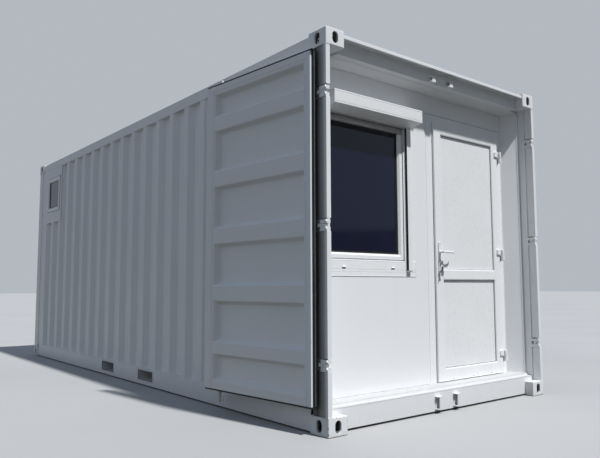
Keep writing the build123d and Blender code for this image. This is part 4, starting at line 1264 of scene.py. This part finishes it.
# a key left in the lock, with its ring, a second key and a dark fob hanging below
yk = 209.0
p.prism("x", fillet([(217.5, KZ - 1.5), (217.5, KZ + 1.5), (214, KZ + 4), (212, KZ + 2), (205, KZ + 10),
                     (200, KZ + 7), (200, KZ - 7), (205, KZ - 10), (212, KZ - 2), (214, KZ - 4)], 2.0, 2),
        HX - 1.2, HX + 1.2, "key_steel", r=0.3, seg=1)
ring = [(HX + 2 * math.sin(a), yk - 6 + 5.5 * math.cos(a), KZ - 15 + 12 * math.sin(a))
        for a in [2 * math.pi * k / 28 for k in range(28)]]
p.tube(ring, 1.3, "key_steel", 8, closed=True)
for dx, tilt, ln, w in ((-4.5, -0.10, 74, 10.5), (4.0, 0.16, 62, 9.5)):
    def kk(s, t, dd=dx, tt=tilt):
        return (HX + dd + s * math.cos(tt) + t * math.sin(tt), yk - 7, KZ - 30 - t * math.cos(tt) + s * math.sin(tt))
    ol = fillet([(-w, 2), (-w * .6, -6), (w * .6, -6), (w, 2), (w, 14), (3.2, 22), (3.2, ln - 16), (4.4, ln - 14),
                 (3.0, ln - 11), (4.4, ln - 8), (3.0, ln - 5), (3.2, ln - 2), (0, ln), (-3.2, ln - 3), (-3.2, 22),
                 (-w, 14)], 1.2, 2)
    v = [(kk(a, b)[0], yk - 7 - 1.0, kk(a, b)[2]) for a, b in ol] + \
        [(kk(a, b)[0], yk - 7 + 1.0, kk(a, b)[2]) for a, b in ol]
    n = len(ol)
    f = [tuple(range(n)), tuple(range(n, 2 * n))[::-1]] + [(j, (j + 1) % n, n + (j + 1) % n, n + j) for j in range(n)]
    v = [(a, b + (4 if dx > 0 else 0), c) for a, b, c in v]
    p.solid(v, f, "key_steel", 0.3, 1)
fob = fillet([(HX - 6, KZ - 42), (HX + 6, KZ - 42), (HX + 9, KZ - 88), (HX + 6, KZ - 98), (HX - 6, KZ - 98),
              (HX - 9, KZ - 88)], 4.0, 4)
p.prism("y", fob, yk - 1, yk + 2.5, "grey_rubber_and_painted_light", r=1.2, seg=2, limit=0.9)
p.done()

p = Piece("door_lever_bar", "handle_metal", ["handle_metal"], "lever_body", stands_for=("door_lever",))
p.lathe([(0.5, 9.6), (8, 10.0), (30, 9.0), (42, 9.0), (52, 10.0), (54.4, 8.4)], (HX, 232.5, LZ), (0, -1, 0), 24)
# the grip: an oval bar that thins along its length and turns back towards the leaf
path = [(HX - 2, 185.5, LZ), (HX + 14, 183.5, LZ), (HX + 34, 183, LZ), (HX + 60, 184.5, LZ), (HX + 90, 186.5, LZ),
        (HX + 114, 187.8, LZ), (HX + 132, 190.5, LZ), (HX + 141, 197, LZ), (HX + 143.5, 206, LZ)]
m = bmesh.new()
rings = []
for i, c in enumerate(path):
    c = Vector(c)
    d = (Vector(path[min(i + 1, len(path) - 1)]) - Vector(path[max(i - 1, 0)])).normalized()
    up = Vector((0, 0, 1))
    sd = d.cross(up).normalized()
    hz = 10.0 - 2.6 * i / (len(path) - 1)
    hy = 6.8 - 1.6 * i / (len(path) - 1)
    e = 0.72 if i in (0, len(path) - 1) else 1.0
    rings.append([m.verts.new(c + up * math.sin(2 * math.pi * k / 16) * hz * e
                              + sd * math.cos(2 * math.pi * k / 16) * hy * e) for k in range(16)])
for a, b in zip(rings, rings[1:]):
    for k in range(16):
        m.faces.new((a[k], a[(k + 1) % 16], b[(k + 1) % 16], b[k]))
m.faces.new(rings[0])
m.faces.new(rings[-1])
bmesh.ops.recalc_face_normals(m, faces=m.faces)
p.merge(m)
p.done()

hx, hy = 1004.0, 212.0
p = Piece("entrance_hinges_leaf_half", "white_pvc", ["white_pvc"], "entrance_door_body",
          stands_for=("entrance_hinges_leaf_side",))
for z in (322.0, 1186.0, 2047.0):
    p.lathe([(0, 10.6), (1.2, 11.8), (43, 11.8), (46, 10.4), (47, 7.0), (47, 0)], (hx, hy, z + 1), (0, 0, 1), 24)
    p.prism("y", fillet([(945, z + 1), (1003, z + 1), (1003, z + 48), (945, z + 48)], [9, 2, 2, 9], 4), 222, 233.1,
            None, r=2.6, seg=3, limit=0.9)
    for u, w in ((962, z + 13), (962, z + 36)):
        p.lathe([(-0.5, 4.4), (0.5, 4.2), (1.0, 2.4), (0.4, 0)], (u, 222, w), (0, -1, 0), 12, "zinc")
p.done()
p = Piece("entrance_hinges_frame_half", "white_pvc", ["white_pvc"], stands_for=("entrance_hinges_frame_side",))
for z in (322.0, 1186.0, 2047.0):
    p.lathe([(0, 10.6), (1.2, 11.8), (43, 11.8), (46, 10.4), (47, 7.0), (47, 0)], (hx, hy, z - 1), (0, 0, -1), 24)
    p.prism("y", fillet([(1005, z - 48), (1024, z - 48), (1024, z - 1), (1005, z - 1)], [2, 6, 6, 2], 4), 208.5,
            253.2, None, r=2.6, seg=3, limit=0.9)
    p.prism("y", fillet([(1018, z - 46), (1044, z - 46), (1044, z - 3), (1018, z - 3)], [2, 6, 6, 2], 4), 246.5,
            253.2, None, r=2.0, seg=2, limit=0.9)
    for w in (z - 36, z - 13):
        p.lathe([(-0.5, 4.4), (0.5, 4.2), (1.0, 2.4), (0.4, 0)], (1034, 246.5, w), (0, -1, 0), 12, "zinc")
p.done()

# ------------------------------------------------------------ shutter window
SL, SR, SB, ST = -1000.0, -234.0, 1112.0, 2118.0
GL, GR, GB, GT = -959.0, -277.0, 1154.0, 2075.0
p = Piece("window_frame_pvc", "white_pvc", ["white_pvc"], stands_for=("window_frame",))
frame2(p, (-1029.5, -200.5, 1090.5, 2169.5), (SL - 1, SR + 1, SB - 1, ST + 1),
       [(0, 0, 316.8), (0, 0, 258.6), (0, 0.8, 258.0), (1, -1, 258.0), (1, 0, 259.0), (1, 0, 310), (1, 3, 312),
        (1, 3, 316.8)], r=0.5)
frame2(p, (SL - 1, SR + 1, SB - 1, ST + 1), (SL + 6, SR - 6, SB + 6, ST - 6),
       [(0, 0.3, 262.0), (0, 1.4, 260.8), (0, 1.4, 263.6), (0, 0.3, 264.4)], "black_rubber", r=0.2)
p.done()
p = Piece("window_sash_pvc", "white_pvc", ["sash_pvc_shaded_head"], stands_for=("window_sash",))
frame2(p, (SL, SR, SB, ST), (GL, GR, GB, GT),
       [(0, 0, 321.8), (0, 0, 252.2), (0, 0.7, 250.6), (0, 2.2, 250.0), (1, -17.2, 250.0), (1, -16.4, 250.6),
        (1, -15.6, 250.6), (1, -15.0, 250.2), (1, -3.0, 262.4), (1, -2.2, 263.6), (1, 0, 268.5), (1, 0, 321.8)],
       r=0.4)
frame2(p, (GL - 0.6, GR + 0.6, GB - 0.6, GT + 0.6), (GL + 4, GR - 4, GB + 4, GT - 4),
       [(0, 0, 272.4), (0, 0, 266.8), (0, 2.4, 266.0), (0, 7.6, 270.4), (0, 8.2, 272.4)], "black_rubber", r=0.4)
p.done()

p = Piece("window_panes_glass", "dark_glass", ["dark_glass"], stands_for=("window_panes",))
p.box(GL + 0.2, GR - 0.2, 272.2, 295.8, GB + 0.2, GT - 0.2, r=0.8)
p.box(-1198.8, -1179.2, 5262.2, 5637.8, 1965.2, 2299.8, r=0.8)
# dark edge seal of the sealed unit round the rim of the pane; the band is deeper at the top and right, where it also
# stands for the shade in the reveal: painted shade
for a0, a1, b0, b1 in ((GL + 4, GR - 4, GT - 36, GT - 4), (GL + 4, GR - 4, GB + 4, GB + 16),
                       (GL + 4, GL + 14, GB + 16, GT - 36), (GR - 22, GR - 4, GB + 16, GT - 36)):
    p.box(a0, a1, 270.9, 272.3, b0, b1, "spacer_and_shade_black", 0.3, 1)
p.done()

# shutter box: folded sheet cover with end plates
p = Piece("shutter_box_cover", "shutter_aluminium", ["shutter_aluminium"], stands_for=("shutter_box",))
p.prism("x", [(116.2, 2148.8), (115.4, 2150.0), (115.4, 2158.6), (117.2, 2159.4), (117.2, 2161.8), (115.4, 2162.6),
              (115.4, 2228.4), (116.6, 2229.2), (116.6, 2231.6), (115.2, 2232.4), (115.2, 2239.2), (118.0, 2242.6),
              (244.8, 2242.6), (244.8, 2119.2)],
        -1040.4, -151.6, None, r=0.5, seg=1)
for a, b in ((-1043, -1040.2), (-151.8, -149)):
    p.prism("x", fillet([(115.0, 2147.0), (115.0, 2243.0), (244.8, 2243.0), (244.8, 2118.0)],
                        [3, 5, 0.5, 0.5], 3), a, b, None, r=0.9, seg=2, limit=0.9)
for x, s in ((-1043, -1), (-149, 1)):
    for y, z in ((128, 2156), (128, 2230), (228, 2134), (228, 2232)):
        p.lathe([(-0.3, 3.6), (0.1, 3.4), (0.6, 2.2), (0.8, 0)], (x + s * -0.3, y, z), (s, 0, 0), 12, "zinc")
# end of the rolled curtain showing in its slot under the box
sl = lambda y: 2147 - 29 * (y - 115) / 130
p.prism("x", [(222, sl(222) + 2), (222, sl(222) - 4.5), (226, sl(226) - 6), (232, sl(232) - 6), (235, sl(235) - 4.5),
              (235, sl(235) + 2)], -1004, -219, "alu_frame", r=0.7)
p.prism("x", [(236, sl(236) + 2), (236, sl(236) - 1.2), (240, sl(240) - 1.2), (240, sl(240) + 2)], -1004, -219,
        "brush_pile", r=0.3)
p.done()

p = Piece("shutter_guides_channel", "shutter_aluminium", ["shutter_aluminium"], stands_for=("shutter_guides",))
for x0, x1, inner in ((-1043.0, -1004.0, 1), (-214.0, -170.0, -1)):
    o, i = (x0, x1) if inner == 1 else (x1, x0)        # o: closed side, i: slotted side
    w = inner
    prof = [(o, 217.8), (o + w * 0.8, 217.0), (i - w * 0.8, 217.0), (i, 217.8), (i, 219.4), (o + w * 10, 219.4),
            (o + w * 10, 240.0), (i, 240.0), (i, 241.8), (o, 241.8)]
    n = len(prof)
    v = [(a, b, 1034.0) for a, b in prof] + [(a, b, 2147 - 29 * (b - 115) / 130 - 1.3) for a, b in prof]
    f = [tuple(range(n))[::-1], tuple(range(n, 2 * n))] + [(j, (j + 1) % n, n + (j + 1) % n, n + j) for j in range(n)]
    p.solid(v, f, None, 0.4, 1)
    p.box(min(x0, x1) + 1, max(x0, x1) - 1, 241.6, 244.9, 1107, 2116.5, None, 0.4, 1)
    if inner < 0:
        p.prism("z", [(-213.2, 241.7), (-233.2, 241.7), (-234.0, 242.5), (-234.0, 244.0), (-232.6, 244.6), (-213.2, 244.6)],
                1107, 2112, None, 0.3, 1)
    # brush pile in the slot and the foot plug
    a, b = sorted((o + w * 10.3, i - w * 1.2))
    p.box(a, b, 219.8, 239.6, 1034, 2120, "brush_pile", 0.4, 1)
    p.box(min(x0, x1) + 0.4, max(x0, x1) - 0.4, 221.0, 241.7, 1024.2, 1033.8, None, 1.2, 2)
    for z in (1090, 1560, 2040):
        p.lathe([(-0.3, 5.0), (0.2, 4.8), (0.9, 3.4), (1.1, 0)], ((x0 + x1) / 2, 217.1, z), (0, -1, 0), 14)
p.done()

p = Piece("window_sill_fascia_cover", "white_pvc", ["white_pvc"], stands_for=("window_sill_fascia",))
p.prism("x", [(244.9, 988.2), (242.2, 988.2), (241.4, 989.6), (241.4, 992.4), (242.4, 993.4), (242.4, 1017.0),
              (243.4, 1017.6), (243.4, 1019.2), (242.2, 1019.8), (242.2, 1034.8), (243.4, 1035.6), (243.4, 1037.2),
              (242.0, 1037.8), (242.0, 1102.0), (244.9, 1105.0)], -1075, -108, None, r=0.3, seg=1)
p.prism("x", [(242.0, 1096.5), (241.2, 1098.2), (241.4, 1101.2), (257.2, 1105.8), (257.2, 1091.0), (245.2, 1091.0),
              (245.2, 1096.5)], -1029.3, -200.7, None, r=0.5, seg=1)
for x in (-1074.4, -108.6):
    p.box(x - 0.6, x + 0.6, 241.2, 244.9, 988.4, 1105.6, None, 0.4, 1)
for x in (-855.0, -363.0):
    # snap-in drain caps: a flat hood with its slot underneath, the slot a thin near-black plate that stands for its
    # shade (painted shade)
    p.prism("x", [(242.2, 1058.6), (237.6, 1057.2), (235.4, 1054.6), (235.2, 1050.0), (236.4, 1049.4), (242.2, 1050.2)],
            x - 17, x + 17, None, r=0.9, seg=2)
    p.box(x - 15, x + 15, 240.4, 242.2, 1045.0, 1050.4, "slot_shade_black", 0.4, 1)
p.done()

# side window
place = lambda a, b, d: (d, a, b)
p = Piece("side_window_frame_pvc", "white_pvc", ["white_pvc"], stands_for=("side_window_frame",))
frame2(p, (5208, 5692, 1911, 2354), (5262, 5638, 1965, 2300),
       [(0, 0, -1210.3), (0, 0, -1215.6), (0, 1.4, -1217.0), (1, -15, -1217.0), (1, -14.2, -1216.2),
        (1, -2.4, -1204.4), (1, 0, -1200.6), (1, 0, -1111.4), (0, 14.8, -1111.4), (0, 14.8, -1210.3)],
       r=0.5, place=place)
frame2(p, (5261.6, 5638.4, 1964.6, 2300.4), (5266, 5634, 1969, 2296),
       [(0, 0, -1198.6), (0, 0, -1203.2), (0, 1.8, -1203.4), (0, 4.0, -1200.6), (0, 4.2, -1198.6)],
       "black_rubber", r=0.3, place=place)
# drip flashing over the window and sealant round the frame
p.prism("y", [(-1210.4, 2374), (-1211.6, 2374), (-1218.4, 2364.2), (-1218.6, 2358.6), (-1217.4, 2358.6),
              (-1217.0, 2363.6), (-1210.4, 2371.0)], 5190, 5710, None, r=0.3, seg=1)
for y in (5206.5, 5693.5):
    p.tube([(-1210.6, y, 1910), (-1210.6, y, 2355)], 2.2, "grey_rubber_and_painted_light", 6)
p.tube([(-1210.6, 5206, 1909.5), (-1210.6, 5694, 1909.5)], 2.2, "grey_rubber_and_painted_light", 6)
p.done()


# -------------------------------------------------------- floor, light, camera
def plain_floor():
    m = Mat("studio_floor")
    c = m.mix(m.rng(m.noise(0.35, 3.0), 0.3, 0.7), (0.42, 0.423, 0.428), (0.395, 0.398, 0.404))
    c = m.mix(m.mul(m.rng(m.noise(60.0, 4.0, 0.7), 0.4, 0.7), 0.25), c, (0.40, 0.402, 0.41))
    n = m.bump(m.noise(160.0, 4.0, 0.6), 0.0008, 0.6)
    # the pale floor bounces only as much light as dull ground would
    lp = m.node("ShaderNodeLightPath")
    c = m.mix(lp.outputs["Is Diffuse Ray"], c, (0.078, 0.078, 0.070))
    m.set(c, 0.9, n, spec=0.15)
    bm = bmesh.new()
    bmesh.ops.create_grid(bm, x_segments=12, y_segments=12, size=90.0)
    me = bpy.data.meshes.new("studio_floor")
    bm.to_mesh(me)
    bm.free()
    me.materials.append(m.m)
    ob = bpy.data.objects.new("studio_floor", me)
    bpy.context.scene.collection.objects.link(ob)
    ob.location = (0, 0, -0.0005)


plain_floor()

world = bpy.data.worlds.new("soft_sky")
bpy.context.scene.world = world
world.use_nodes = True
nt = world.node_tree
nt.nodes.clear()
out = nt.nodes.new("ShaderNodeOutputWorld")
bg = nt.nodes.new("ShaderNodeBackground")
tc = nt.nodes.new("ShaderNodeTexCoord")
sep = nt.nodes.new("ShaderNodeSeparateXYZ")
nt.links.new(tc.outputs["Generated"], sep.inputs[0])
ramp = nt.nodes.new("ShaderNodeValToRGB")
mr = nt.nodes.new("ShaderNodeMapRange")
mr.inputs[1].default_value = -1.0
mr.inputs[2].default_value = 1.0
nt.links.new(sep.outputs[2], mr.inputs[0])
nt.links.new(mr.outputs[0], ramp.inputs[0])
e = ramp.color_ramp.elements
e[0].position, e[0].color = 0.0, (0.12, 0.12, 0.11, 1)
e[1].position, e[1].color = 1.0, (0.20, 0.27, 0.38, 1)
k = ramp.color_ramp.elements.new(0.49)
k.color = (0.20, 0.20, 0.20, 1)
k = ramp.color_ramp.elements.new(0.52)
k.color = (0.35, 0.385, 0.44, 1)
k = ramp.color_ramp.elements.new(0.78)
k.color = (0.33, 0.385, 0.47, 1)
# the side the door end faces is the duller half of the sky
dim = nt.nodes.new("ShaderNodeMapRange")
dim.interpolation_type = "SMOOTHSTEP"
for q, v in ((1, -0.75), (2, 0.35), (3, 0.66), (4, 1.0)):
    dim.inputs[q].default_value = v
nt.links.new(sep.outputs[1], dim.inputs[0])
low = nt.nodes.new("ShaderNodeMapRange")
low.interpolation_type = "SMOOTHSTEP"
for q, v in ((1, 0.084), (2, 0.094), (3, 0.42), (4, 1.0)):
    low.inputs[q].default_value = v
nt.links.new(sep.outputs[2], low.inputs[0])
far = nt.nodes.new("ShaderNodeMapRange")
far.interpolation_type = "SMOOTHSTEP"
for q, v in ((1, -0.5), (2, 0.1), (3, 1.0), (4, 0.0)):
    far.inputs[q].default_value = v
nt.links.new(sep.outputs[1], far.inputs[0])
hz = nt.nodes.new("ShaderNodeMix")
hz.data_type = "FLOAT"
nt.links.new(far.outputs[0], hz.inputs[0])
hz.inputs[2].default_value = 1.0
nt.links.new(low.outputs[0], hz.inputs[3])
mul = nt.nodes.new("ShaderNodeMath")
mul.operation = "MULTIPLY"
nt.links.new(dim.outputs[0], mul.inputs[0])
nt.links.new(hz.outputs[0], mul.inputs[1])
tone = nt.nodes.new("ShaderNodeVectorMath")
tone.operation = "SCALE"
nt.links.new(ramp.outputs[0], tone.inputs[0])
nt.links.new(mul.outputs[0], tone.inputs[3])
lp = nt.nodes.new("ShaderNodeLightPath")
mx = nt.nodes.new("ShaderNodeMix")
mx.data_type = "RGBA"
nt.links.new(lp.outputs["Is Camera Ray"], mx.inputs[0])
nt.links.new(tone.outputs[0], mx.inputs[6])
mx.inputs[7].default_value = (0.43, 0.46, 0.50, 1)
nt.links.new(mx.outputs[2], bg.inputs[0])
bg.inputs[1].default_value = 1.06
nt.links.new(bg.outputs[0], out.inputs[0])

sun = bpy.data.lights.new("key_light", "SUN")
sun.energy = 4.2
sun.color = (1.0, 0.993, 0.978)
sun.angle = math.radians(2.2)
so = bpy.data.objects.new("key_light", sun)
so.rotation_euler = Vector((0.105, -0.585, 1.0)).to_track_quat("Z", "Y").to_euler()
bpy.context.scene.collection.objects.link(so)

cam = bpy.data.cameras.new("view")
cam.lens = 37.22
cam.sensor_width = 36.0
cam.clip_end = 500
co = bpy.data.objects.new("view", cam)
yaw, pitch, roll = math.radians(38.85), math.radians(5.27), math.radians(-0.15)
d = Vector((math.sin(yaw) * math.cos(pitch), math.cos(yaw) * math.cos(pitch), math.sin(pitch)))
rt = Vector((math.cos(yaw), -math.sin(yaw), 0))
up = rt.cross(d)
r2 = rt * math.cos(roll) + up * math.sin(roll)
u2 = -rt * math.sin(roll) + up * math.cos(roll)
mt = Matrix((r2, u2, -d)).transposed().to_4x4()
mt.translation = Vector((-3.765, -5.920, 0.920))
co.matrix_world = mt
bpy.context.scene.collection.objects.link(co)
bpy.context.scene.camera = co
bpy.context.scene.view_settings.view_transform = "Standard"
bpy.context.scene.view_settings.look = "None"
